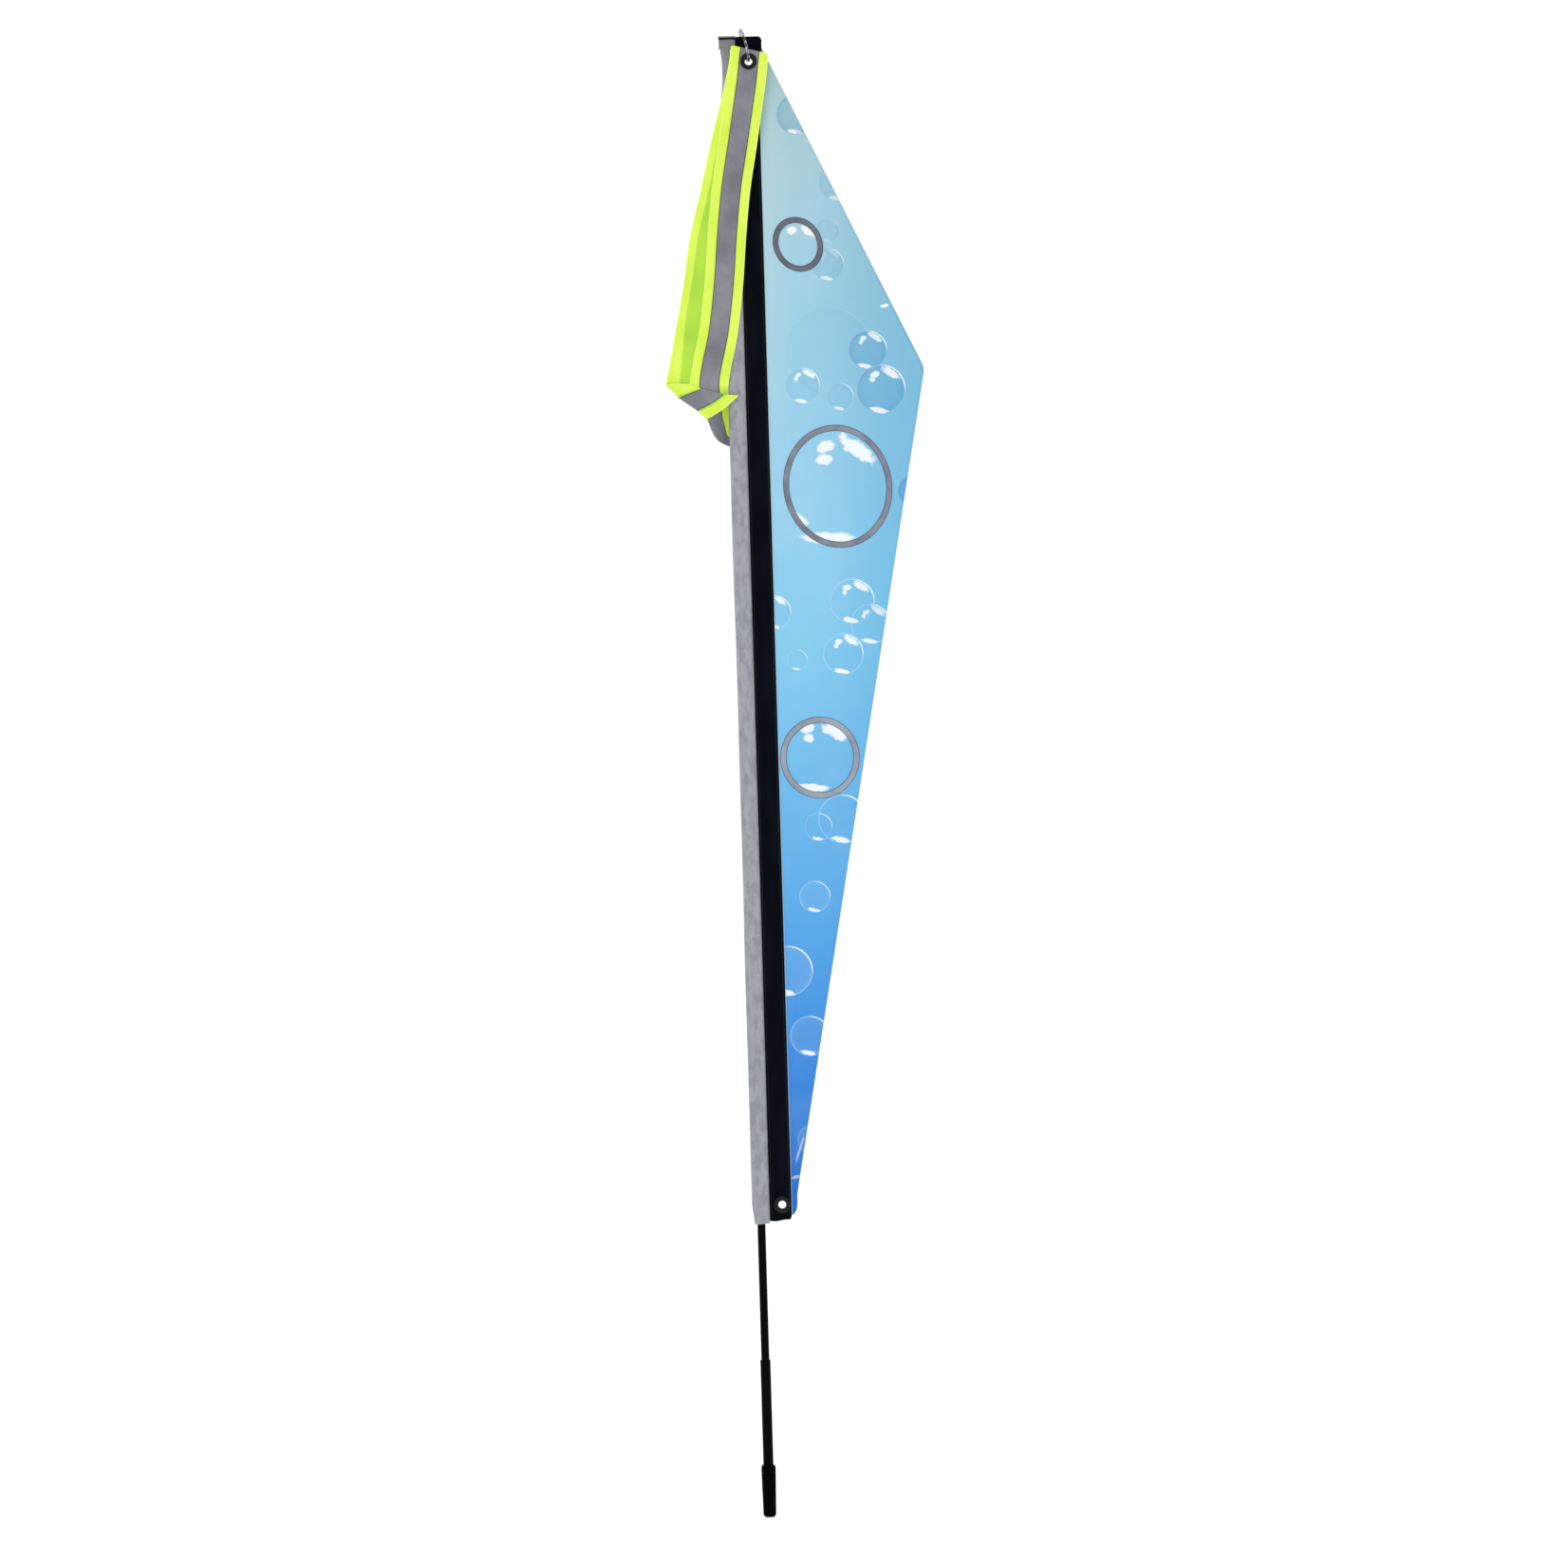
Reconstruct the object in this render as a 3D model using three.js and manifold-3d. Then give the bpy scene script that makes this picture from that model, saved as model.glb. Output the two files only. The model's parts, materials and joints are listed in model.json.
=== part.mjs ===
// A feather-shaped safety flag on a two-section pole, with a reflective tail that hangs from its top
// grommet. Sizes are in millimetres. The pole stands on the Z axis with its foot at the origin, the
// flag flies towards +X, and the side that carries the tail faces -Y (the front).
import * as THREE from 'three';
import { mergeVertices } from 'three/addons/utils/BufferGeometryUtils.js';
import Module from 'manifold-3d';

const wasm = await Module();
wasm.setup();

// ---------------------------------------------------------------- driving dimensions

const GAP = 0.3; // clearance between pieces that touch in the real object
const ROUND_SIDES = 28;

// Pole: a foot cap, a base tube, and two push-fit sections above it.
const CAP_HEIGHT = 64;
const CAP_FOOT_RADIUS = 8;
const CAP_HEAD_RADIUS = 9;
const CAP_CHAMFER = 2.4;
const CAP_FLOOR = 4;
const BASE_RADIUS = 6.35;
const BASE_BORE = 5.35;
const BASE_TOP = 194;
const POLE_RADIUS = 5;
const POLE_BORE = 4;
const POLE_INSERTION = 120;
const STOP_HEIGHT = 12;
const JOINT_HEIGHT = 930;
const SPIGOT_HALF = 80;
const POLE_TOP = 1806;
const PLUG_HEAD = 3.5;
const PLUG_STEM = 14;

// Flag: a sleeve around the pole, a two-leaf header beside it, and the printed panel.
const CLOTH = 0.7;
const SLEEVE_WALL = 0.8;
const SLEEVE_BOTTOM = 362;
const SLEEVE_TOP = 1832;
const SLEEVE_RIGHT = 10.4;
const HEADER_RIGHT = 38;
const HEADER_BOTTOM = 365.6;
const HEADER_TOP = 1829.8;
const LEAF = 0.8;
const HEADER_INNER = CLOTH / 2 + GAP;
const HEADER_OUTER = HEADER_INNER + LEAF;
const SEAM_TUCK = 5;
const PANEL_BOTTOM = 372.5;
const PANEL_TOP = 1823;
const PANEL_WIDEST = { x: 231.5, z: 1415 };
const FILM = 0.5;
const FILM_BAND = 7.6;
const CIRCLES = {
  upper: { x: 80.6, z: 1571.9, width: 67, height: 71 },
  middle: { x: 121.1, z: 1271.3, width: 140, height: 154 },
  lower: { x: 89.3, z: 936.7, width: 98, height: 101 },
};

// Grommets, the split ring in the upper one, and the tail that hangs on the ring.
const GROMMET_BORE = 4.8;
const GROMMET_BARREL = 5.5;
const GROMMET_FLANGE = 10.25;
const GROMMET_LIP = 7.2;
const FLANGE_THICKNESS = 0.8;
const UPPER_GROMMET = { x: 26.2, z: 1799 };
const LOWER_GROMMET = { x: 26.5, z: 385.4 };
const RING_RADIUS = 19.9;
const RING_WIRE = { radial: 2.2, axial: 1.4 };
const RING_COIL_OFFSET = 0.8;
const RING_WOUND = 680; // degrees of wire from one end to the other
const RING_CROSSING = { from: 320, to: 360 }; // where the wire steps from one coil to the next
const RING_DEPTH = -4;
const RING_LIFT = 0.8;
const RING_LEAN = 13.3;
const RING_YAW = 6;
const TAPE_HALF = 23.75;
const STRIPE_HALF = 12.4;
const TAPE = 0.6;
const STRIPE = 0.25;

// Depth of the tail's layers, from the flag outwards (front is -Y); each value is a layer's back face.
const BACK_STRIPE_Y = -7.75;
const BACK_TAPE_Y = BACK_STRIPE_Y - STRIPE - GAP;
const FRONT_TAPE_Y = BACK_TAPE_Y - TAPE - GAP;
const FRONT_STRIPE_Y = FRONT_TAPE_Y - TAPE - GAP;
const CROSSING_TAPE_Y = FRONT_STRIPE_Y - STRIPE - GAP;
const CROSSING_STRIPE_Y = CROSSING_TAPE_Y - TAPE - GAP;

// ---------------------------------------------------------------- solids

function vector(x, y, z) {
  return new THREE.Vector3(x, y, z);
}

/** A closed solid turned about Z from a profile of [radius, height] points. */
function turned(profile, sides = ROUND_SIDES) {
  const points = profile.map(([radius, height]) => new THREE.Vector2(radius, height));
  return new THREE.LatheGeometry(points, sides).rotateX(Math.PI / 2);
}

/** A tube about Z between two heights. */
function tube(bore, radius, bottom, top) {
  return turned([[bore, bottom], [radius, bottom], [radius, top], [bore, top], [bore, bottom]]);
}

/** A shape drawn in X and Z, given thickness from its back face towards the front. */
function slab(shape, backFace, thickness) {
  const options = { depth: thickness, bevelEnabled: false, curveSegments: 8 };
  const flat = new THREE.ExtrudeGeometry(shape, options).rotateX(Math.PI / 2);
  return flat.translate(0, backFace, 0);
}

/** A polygon of [x, z] points. */
function polygon(points) {
  return new THREE.Shape(points.map(([x, z]) => new THREE.Vector2(x, z)));
}

/** A round hole or disc outline. */
function circle(centre, radius, Kind = THREE.Path) {
  return new Kind().absarc(centre.x, centre.z, radius, 0, 2 * Math.PI, false);
}

/** Moves every vertex of a geometry to the place that the rule gives for it. */
function mapped(geometry, rule) {
  const place = geometry.attributes.position;
  for (let i = 0; i < place.count; i += 1) {
    const moved = rule(place.getX(i), place.getY(i), place.getZ(i));
    place.setXYZ(i, moved.x, moved.y, moved.z);
  }
  return geometry;
}

function toManifold(geometry) {
  const bare = geometry.clone();
  bare.deleteAttribute('normal');
  bare.deleteAttribute('uv');
  const welded = mergeVertices(bare, 1e-3);
  return new wasm.Manifold(new wasm.Mesh({
    numProp: 3,
    vertProperties: Float32Array.from(welded.attributes.position.array),
    triVerts: Uint32Array.from(welded.index.array),
  }));
}

function toGeometry(solid) {
  const mesh = solid.getMesh();
  const geometry = new THREE.BufferGeometry();
  geometry.setAttribute('position', new THREE.BufferAttribute(mesh.vertProperties, 3));
  geometry.setIndex(new THREE.BufferAttribute(mesh.triVerts, 1));
  geometry.computeVertexNormals();
  return geometry;
}

function joined(...geometries) {
  return toGeometry(geometries.map(toManifold).reduce((sum, next) => sum.add(next)));
}

function cut(geometry, tool) {
  return toGeometry(toManifold(geometry).subtract(toManifold(tool)));
}

function smooth(value) {
  return THREE.MathUtils.smoothstep(value, 0, 1);
}

/** Reads a height-by-height list of [z, value] rows, easing between neighbouring rows. */
function eased(rows, z) {
  const next = rows.findIndex(([height]) => height > z);
  if (next < 0) return rows.at(-1)[1];
  if (next === 0) return rows[0][1];
  const [[lowZ, low], [highZ, high]] = [rows[next - 1], rows[next]];
  return THREE.MathUtils.lerp(low, high, smooth((z - lowZ) / (highZ - lowZ)));
}

// ---------------------------------------------------------------- materials and the assembly

const flag = new THREE.Group();
flag.name = 'pole_flag';

const LOOKS = {
  blackPlastic: { color: '#0b0b0c', roughness: 0.55, metalness: 0 },
  blackTube: { color: '#101112', roughness: 0.35, metalness: 0.2 },
  fibreglass: { color: '#c9c3a8', roughness: 0.45, metalness: 0 },
  greyFabric: { color: '#9699a2', roughness: 0.6, metalness: 0 },
  blackFabric: { color: '#090d13', roughness: 0.85, metalness: 0 },
  bluePrint: { color: '#8fc4e6', roughness: 0.7, metalness: 0 },
  reflective: { color: '#7d8389', roughness: 0.45, metalness: 0.1 },
  neonTape: { color: '#dcf559', roughness: 0.8, metalness: 0 },
  blackMetal: { color: '#141617', roughness: 0.35, metalness: 0.7 },
  steel: { color: '#b9bbbd', roughness: 0.2, metalness: 1 },
};

function add(name, geometry, look) {
  const mesh = new THREE.Mesh(geometry, new THREE.MeshStandardMaterial(LOOKS[look]));
  mesh.name = name;
  flag.add(mesh);
}

// ---------------------------------------------------------------- pole

/** The moulded foot: wider at its open head, chamfered at both ends, with a blind bore for the tube. */
function footCap() {
  const bore = BASE_RADIUS + GAP;
  return turned([
    [0, 0],
    [CAP_FOOT_RADIUS - CAP_CHAMFER, 0],
    [CAP_FOOT_RADIUS, CAP_CHAMFER],
    [CAP_HEAD_RADIUS, CAP_HEIGHT - CAP_CHAMFER],
    [CAP_HEAD_RADIUS - CAP_CHAMFER / 2, CAP_HEIGHT],
    [bore, CAP_HEIGHT],
    [bore, CAP_FLOOR],
    [0, CAP_FLOOR],
  ]);
}

/** A plug whose stem stands in a tube end at this height; its domed head points along `up` (1 or -1). */
function endPlug(tubeEnd, up) {
  const stem = POLE_BORE - GAP;
  const face = tubeEnd + up * GAP;
  const tip = face + up * PLUG_HEAD;
  const profile = [[0, tubeEnd - up * PLUG_STEM], [stem, tubeEnd - up * PLUG_STEM], [stem, face]];
  const arcSteps = 5;
  for (let i = 0; i <= arcSteps; i += 1) {
    const turn = (i / arcSteps) * (Math.PI / 2);
    const radius = i === arcSteps ? 0 : POLE_RADIUS * Math.cos(turn);
    profile.push([radius, face + (tip - face) * Math.sin(turn)]);
  }
  return turned(up > 0 ? profile : profile.reverse());
}

function spigot() {
  const radius = POLE_BORE - GAP;
  const taper = 1.2;
  const low = JOINT_HEIGHT - SPIGOT_HALF;
  const high = JOINT_HEIGHT + SPIGOT_HALF;
  return turned([
    [0, low],
    [radius - taper, low],
    [radius, low + taper],
    [radius, high - taper],
    [radius - taper, high],
    [0, high],
  ]);
}

function addPole() {
  const stopTop = BASE_TOP - POLE_INSERTION - PLUG_HEAD - GAP;
  const poleBottom = BASE_TOP - POLE_INSERTION + GAP;
  const stop = turned([
    [0, stopTop - STOP_HEIGHT],
    [BASE_BORE - GAP, stopTop - STOP_HEIGHT],
    [BASE_BORE - GAP, stopTop],
    [0, stopTop],
  ]);
  add('base_cap', footCap(), 'blackPlastic');
  add('base_tube', tube(BASE_BORE, BASE_RADIUS, CAP_FLOOR + GAP, BASE_TOP), 'blackTube');
  add('base_stop', stop, 'blackPlastic');
  add('lower_pole_tube', tube(POLE_BORE, POLE_RADIUS, poleBottom, JOINT_HEIGHT - GAP / 2), 'blackTube');
  add('lower_end_plug', endPlug(poleBottom, -1), 'blackPlastic');
  add('joint_spigot', spigot(), 'fibreglass');
  add('upper_pole_tube', tube(POLE_BORE, POLE_RADIUS, JOINT_HEIGHT + GAP / 2, POLE_TOP), 'blackTube');
  add('upper_end_plug', endPlug(POLE_TOP, 1), 'blackPlastic');
}

// ---------------------------------------------------------------- sleeve

// The sleeve is loose below its neck, hugs the pole's tip in it, and is sewn shut and flat above the tip.
const NECK_START = 1745;
const NECK_LOW = 1775;
const NECK_HIGH = 1796;
const TIP_CLEARED = 1811;
const LOOSE_LEFT = -10.2;
const NECK_LEFT = -6.6;
const LOOSE_HALF = 6.4;
const TIP_HALF = 7.2;
const CLOSED_HALF = 1.6;
const SLEEVE_LEFT = [
  [NECK_START, LOOSE_LEFT],
  [NECK_LOW, NECK_LEFT],
  [NECK_HIGH, NECK_LEFT],
  [SLEEVE_TOP, -10.6],
];
const SLEEVE_HALF = [
  [NECK_START, LOOSE_HALF],
  [NECK_LOW, TIP_HALF],
  [TIP_CLEARED, TIP_HALF],
  [SLEEVE_TOP, CLOSED_HALF],
];

/** A column with the sleeve's section, drawn in by `inset` on every side. */
function sleeveColumn(bottom, top, inset) {
  const step = (NECK_LOW - NECK_START) / 3;
  const narrowing = [NECK_START, NECK_START + step, NECK_LOW - step, NECK_LOW];
  const levels = [bottom, ...narrowing, NECK_HIGH, (NECK_HIGH + TIP_CLEARED) / 2, top];
  const rows = levels.length - 1;
  const column = new THREE.CylinderGeometry(1, 1, rows, ROUND_SIDES, rows).rotateX(Math.PI / 2);
  return mapped(column, (x, y, row) => {
    const level = levels[Math.round(row + rows / 2)];
    const left = eased(SLEEVE_LEFT, level) + inset;
    const right = SLEEVE_RIGHT - inset;
    const half = eased(SLEEVE_HALF, level) - inset;
    return vector((left + right) / 2 + (x * (right - left)) / 2, y * half, level);
  });
}

function sleeve() {
  const pocketTop = POLE_TOP + PLUG_HEAD + 2 * GAP;
  const pocket = sleeveColumn(SLEEVE_BOTTOM - 1, pocketTop, SLEEVE_WALL);
  const seam = polygon([
    [SLEEVE_RIGHT - SLEEVE_WALL / 2, HEADER_BOTTOM],
    [SLEEVE_RIGHT + SEAM_TUCK, HEADER_BOTTOM],
    [SLEEVE_RIGHT + SEAM_TUCK, HEADER_TOP],
    [SLEEVE_RIGHT - SLEEVE_WALL / 2, HEADER_TOP],
  ]);
  const wall = cut(sleeveColumn(SLEEVE_BOTTOM, SLEEVE_TOP, 0), pocket);
  return joined(wall, slab(seam, CLOTH / 2, CLOTH));
}

// ---------------------------------------------------------------- header, webbing and panel

/** One leaf of the header, with its wavy lower hem and the two grommet holes. */
function headerLeaf(backFace) {
  const left = SLEEVE_RIGHT + GAP;
  const corner = 3;
  const wave = 1.2;
  const middle = (left + HEADER_RIGHT) / 2;
  const quarter = (HEADER_RIGHT - left) / 4;
  const shape = new THREE.Shape();
  shape.moveTo(left, HEADER_BOTTOM);
  shape.quadraticCurveTo(middle - quarter, HEADER_BOTTOM - wave, middle, HEADER_BOTTOM);
  shape.quadraticCurveTo(middle + quarter, HEADER_BOTTOM + wave, HEADER_RIGHT - corner, HEADER_BOTTOM);
  shape.quadraticCurveTo(HEADER_RIGHT, HEADER_BOTTOM, HEADER_RIGHT, HEADER_BOTTOM + corner);
  shape.lineTo(HEADER_RIGHT, HEADER_TOP);
  shape.lineTo(left, HEADER_TOP);
  shape.holes.push(circle(UPPER_GROMMET, GROMMET_BARREL + GAP));
  shape.holes.push(circle(LOWER_GROMMET, GROMMET_BARREL + GAP));
  return slab(shape, backFace, LEAF);
}

/** Reinforcing webbing folded over the header's top edge, with a rounded free corner. */
function topWebbing() {
  const thickness = 0.8;
  const left = SLEEVE_RIGHT + thickness;
  const right = HEADER_RIGHT + 4.8;
  const bottom = HEADER_TOP - 17.8;
  const inner = HEADER_OUTER + GAP;
  const top = HEADER_TOP + GAP + thickness;
  const corner = 5;
  const shape = new THREE.Shape();
  shape.moveTo(left, bottom);
  shape.lineTo(right, bottom);
  shape.lineTo(right, top - corner);
  shape.quadraticCurveTo(right, top, right - corner, top);
  shape.lineTo(left, top);
  const inside = new THREE.BoxGeometry(2 * right, 2 * inner, top - thickness);
  inside.translate(0, 0, (top - thickness) / 2);
  return cut(slab(shape, inner + thickness, 2 * (inner + thickness)), inside);
}

/** The kite-shaped panel: a short lower tip, a long free edge, a corner at the widest point. */
function panel() {
  const tucked = HEADER_RIGHT - SEAM_TUCK;
  const tip = { x: HEADER_RIGHT + 7.6, z: PANEL_BOTTOM + 25.5, round: 8.5 };
  const corner = 6;
  const shoulder = { x: HEADER_RIGHT + 14.4, z: PANEL_TOP - 27 };
  const shape = new THREE.Shape();
  shape.moveTo(tucked, PANEL_BOTTOM);
  shape.lineTo(HEADER_RIGHT + 2, PANEL_BOTTOM);
  shape.quadraticCurveTo(HEADER_RIGHT + tip.round, PANEL_BOTTOM + 3, tip.x, tip.z);
  shape.lineTo(PANEL_WIDEST.x, PANEL_WIDEST.z - corner);
  shape.quadraticCurveTo(PANEL_WIDEST.x + 1, PANEL_WIDEST.z + 1, PANEL_WIDEST.x - 2, PANEL_WIDEST.z + corner);
  shape.lineTo(shoulder.x, shoulder.z);
  shape.quadraticCurveTo(HEADER_RIGHT + 5, PANEL_TOP - 6, HEADER_RIGHT, PANEL_TOP);
  shape.lineTo(tucked, PANEL_TOP);
  return slab(shape, CLOTH / 2, CLOTH);
}

/** A flat oval ring of reflective film on the panel's front. */
function reflectiveCircle({ x, z, width, height }) {
  const shape = new THREE.Shape().absellipse(x, z, width / 2, height / 2, 0, 2 * Math.PI, false);
  const inside = new THREE.Path();
  inside.absellipse(x, z, width / 2 - FILM_BAND, height / 2 - FILM_BAND, 0, 2 * Math.PI, false);
  shape.holes.push(inside);
  const options = { depth: FILM, bevelEnabled: false, curveSegments: 36 };
  const film = new THREE.ExtrudeGeometry(shape, options).rotateX(Math.PI / 2);
  return film.translate(0, -(CLOTH / 2 + GAP), 0);
}

function addFlag() {
  add('pole_sleeve', sleeve(), 'greyFabric');
  add('header_front', headerLeaf(-HEADER_INNER), 'blackFabric');
  add('header_back', headerLeaf(HEADER_OUTER), 'blackFabric');
  add('top_webbing', topWebbing(), 'blackFabric');
  add('flag_panel', panel(), 'bluePrint');
  for (const [name, oval] of Object.entries(CIRCLES)) {
    add(`reflective_circle_${name}`, reflectiveCircle(oval), 'reflective');
  }
}

// ---------------------------------------------------------------- grommets and the split ring

/** Carries a solid turned about Z to a grommet's place, with its head facing the front. */
function facingFront(geometry, centre) {
  return geometry.rotateX(Math.PI / 2).translate(centre.x, 0, centre.z);
}

/** A grommet that clamps cloth between two depths: front flange, barrel and the lip rolled at the back. */
function addGrommet(name, centre, clothFront, clothBack) {
  const front = -clothFront + GAP;
  const washer = -clothBack - GAP;
  const lip = washer - FLANGE_THICKNESS - GAP;
  const lipEnd = lip - 0.6;
  const eyelet = turned([
    [GROMMET_BORE, lipEnd],
    [GROMMET_LIP - 0.5, lipEnd],
    [GROMMET_LIP, lip],
    [GROMMET_BARREL, lip],
    [GROMMET_BARREL, front],
    [GROMMET_FLANGE, front],
    [GROMMET_FLANGE - 0.5, front + FLANGE_THICKNESS],
    [GROMMET_BORE + 0.6, front + FLANGE_THICKNESS],
    [GROMMET_BORE, front + FLANGE_THICKNESS - 0.4],
    [GROMMET_BORE, lipEnd],
  ]);
  const ring = tube(GROMMET_BARREL + GAP, GROMMET_FLANGE, washer - FLANGE_THICKNESS, washer);
  add(`${name}_grommet`, facingFront(eyelet, centre), 'blackMetal');
  add(`${name}_washer`, facingFront(ring, centre), 'blackMetal');
}

/** The line of a split ring's wire: two coils side by side, joined by one short crossing. */
class SplitRingLine extends THREE.Curve {
  getPoint(t) {
    const degrees = t * RING_WOUND;
    const turn = THREE.MathUtils.degToRad(degrees);
    const crossed = THREE.MathUtils.smoothstep(degrees, RING_CROSSING.from, RING_CROSSING.to);
    const axial = THREE.MathUtils.lerp(-RING_COIL_OFFSET, RING_COIL_OFFSET, crossed);
    return vector(axial, RING_RADIUS * Math.cos(turn), RING_RADIUS * Math.sin(turn));
  }
}

function splitRing() {
  const section = new THREE.Shape();
  section.absellipse(0, 0, RING_WIRE.radial / 2, RING_WIRE.axial / 2, 0, 2 * Math.PI, false);
  const options = {
    steps: 110,
    curveSegments: 5,
    bevelEnabled: false,
    extrudePath: new SplitRingLine(),
  };
  const ring = new THREE.ExtrudeGeometry(section, options);
  ring.translate(0, 0, RING_RADIUS + RING_LIFT);
  ring.rotateZ(THREE.MathUtils.degToRad(RING_YAW));
  ring.rotateY(THREE.MathUtils.degToRad(-RING_LEAN));
  return ring.translate(UPPER_GROMMET.x, RING_DEPTH, UPPER_GROMMET.z);
}

// ---------------------------------------------------------------- tail

/** A smooth line through [x, z] points. */
function line(points) {
  return new THREE.SplineCurve(points.map(([x, z]) => new THREE.Vector2(x, z)));
}

const FRONT_LINE = line([
  [29.5, 1821], [26.1, 1798.5], [22.3, 1770], [10.3, 1700], [0.1, 1642], [-6.9, 1583], [-12.3, 1525],
  [-20.5, 1466], [-30, 1425], [-34, 1400], [-32, 1372], [-22, 1350], [-4, 1338],
]);
const BACK_LINE = line([
  [27.2, 1811], [26.1, 1798.5], [18.3, 1764], [0, 1695], [-14.6, 1636], [-29.2, 1579], [-39, 1520],
  [-51.6, 1462], [-64, 1408], [-70, 1382],
]);

/** A point beside a line: `along` runs from 0 to 1 and `aside` is positive towards the right. */
function beside(curve, along, aside) {
  const point = curve.getPointAt(along);
  const heading = curve.getTangentAt(along);
  return new THREE.Vector2(point.x - heading.y * aside, point.y + heading.x * aside);
}

/** How far the front tape's lower end sweeps back: beside the sleeve at first, then behind it. */
const SWEEP = { depth: 18.6, fromX: -42, overX: 30, fromZ: 1410, overZ: 36 };
function frontSweep(x, z) {
  const rightward = smooth((x - SWEEP.fromX) / SWEEP.overX);
  return SWEEP.depth * rightward * smooth((SWEEP.fromZ - z) / SWEEP.overZ);
}

/** The furthest right that the front tape may reach where it slips from the sleeve's front to its left. */
const SLIP = { low: 1374, begun: 1387, high: 1449, x: LOOSE_LEFT - 1, overlap: 10 };
function slipLimit(z) {
  if (z < SLIP.low || z > SLIP.high) return Infinity;
  return SLIP.x + SLIP.overlap * smooth((z - SLIP.begun) / (SLIP.high - SLIP.begun));
}

/** How much of the front tape's line is cut away at its slanting top end, at one offset across it. */
const TOP_CUT = { left: 4, right: 8.7 };
function topCut(across) {
  const share = (across + TAPE_HALF) / (2 * TAPE_HALF);
  return THREE.MathUtils.lerp(TOP_CUT.left, TOP_CUT.right, share) / FRONT_LINE.getLength();
}

/** A strip of the front tape that is `columns` of its columns wide; matching columns keep layers clear. */
function frontStrip(columns, backFace, thickness, slack) {
  const columnWidth = TAPE_HALF / 4;
  const [rows, plainRows, plainShare] = [36, 12, 0.76]; // the swept end takes most of the rows
  const width = columns * columnWidth;
  const box = new THREE.BoxGeometry(width, thickness, rows, columns, 1, rows);
  return mapped(box, (across, deep, down) => {
    const row = rows / 2 - down;
    const plain = (plainShare * row) / plainRows;
    const swept = plainShare + ((1 - plainShare) * (row - plainRows)) / (rows - plainRows);
    const along = THREE.MathUtils.lerp(topCut(across), 1, row < plainRows ? plain : swept);
    const turnedUnder = 0.5 * smooth((along - 0.85) / 0.1);
    const spot = beside(FRONT_LINE, along, across < 0 ? across * (1 - turnedUnder) : across);
    const x = Math.min(spot.x, slipLimit(spot.y));
    const sweep = frontSweep(x, spot.y);
    const extra = slack * smooth(sweep / 2);
    return vector(x, backFace - thickness / 2 + deep + sweep - extra, spot.y);
  });
}

function tailHole() {
  const throughAll = 60;
  const radius = GROMMET_BARREL + GAP;
  const barrel = new THREE.CylinderGeometry(radius, radius, throughAll, ROUND_SIDES);
  return barrel.translate(UPPER_GROMMET.x, 0, UPPER_GROMMET.z);
}

// The back tape's fold, a line across the tape from its left edge down to its right edge.
const FOLD = [new THREE.Vector2(-86, 1400), new THREE.Vector2(-48.5, 1366.4)];

/** A point part of the way down the fold line, moved inward from it (or outward, if negative). */
function onFold(share, inward) {
  const heading = FOLD[1].clone().sub(FOLD[0]).normalize();
  const point = FOLD[0].clone().lerp(FOLD[1], share);
  return [point.x - heading.y * inward, point.y + heading.x * inward];
}

/** The back strand of the tail between two offsets from its middle, down to two points at its fold. */
function backStrand(half, foldHigh, foldLow) {
  const steps = 16;
  const clear = 4;
  const side = (aside, end) => {
    const spots = Array.from({ length: steps + 1 }, (_, i) => beside(BACK_LINE, i / steps, aside));
    return [...spots.filter((spot) => spot.y > end[1] + clear).map((spot) => [spot.x, spot.y]), end];
  };
  return polygon([...side(-half, foldHigh), ...side(half, foldLow).reverse()]);
}

/** A strand behind, a crossing piece in front and the wall at the fold that makes them one. */
function foldedLayer(half, high, low, crossing, back, front, thickness) {
  const ends = [onFold(...high), onFold(...low)];
  const inner = [onFold(low[0], low[1] + thickness), onFold(high[0], high[1] + thickness)];
  return joined(
    slab(backStrand(half, ...ends), back, thickness),
    slab(polygon([ends[0], ...crossing, ends[1]]), front, thickness),
    slab(polygon([...ends, ...inner]), back, back - front + thickness),
  );
}

function backTape() {
  const crossing = [[-57.2, 1402.4], [-42.7, 1397.1], [2.8, 1386], [-39.4, 1358.9]];
  return foldedLayer(TAPE_HALF, [0, 0], [1, 0], crossing, BACK_TAPE_Y, CROSSING_TAPE_Y, TAPE);
}

function backStripe() {
  const outside = -(GAP + STRIPE);
  const crossing = [[-44.6, 1396.7], [-15.1, 1389.3], [-46.5, 1368.6]];
  const [high, low] = [[0.32, outside], [0.81, outside]];
  return foldedLayer(STRIPE_HALF, high, low, crossing, BACK_STRIPE_Y, CROSSING_STRIPE_Y, STRIPE);
}

function addTail() {
  const frontTape = frontStrip(8, FRONT_TAPE_Y, TAPE, 0);
  const frontStripe = frontStrip(4, FRONT_STRIPE_Y, STRIPE, 0.5);
  add('tail_front_tape', cut(frontTape, tailHole()), 'neonTape');
  add('tail_front_stripe', cut(frontStripe, tailHole()), 'reflective');
  add('tail_back_tape', cut(backTape(), tailHole()), 'neonTape');
  add('tail_back_stripe', cut(backStripe(), tailHole()), 'reflective');
}

addPole();
addFlag();
addGrommet('upper', UPPER_GROMMET, -HEADER_OUTER, HEADER_OUTER);
addGrommet('lower', LOWER_GROMMET, -HEADER_OUTER, HEADER_OUTER);
addGrommet('tail', UPPER_GROMMET, FRONT_STRIPE_Y - STRIPE, BACK_STRIPE_Y);
add('split_ring', splitRing(), 'steel');
addTail();

export default flag;
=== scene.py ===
"""Looks of the pole safety flag: cloth, tape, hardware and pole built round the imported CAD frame.

Lengths in this script are millimetres until a mesh is made, which turns them into the frame's metres.
X runs from the pole towards the flag's free corner, -Y is the front and Z is up.
"""

import json
import math

import bmesh
import bpy
from mathutils import Euler, Matrix, Vector

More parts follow.
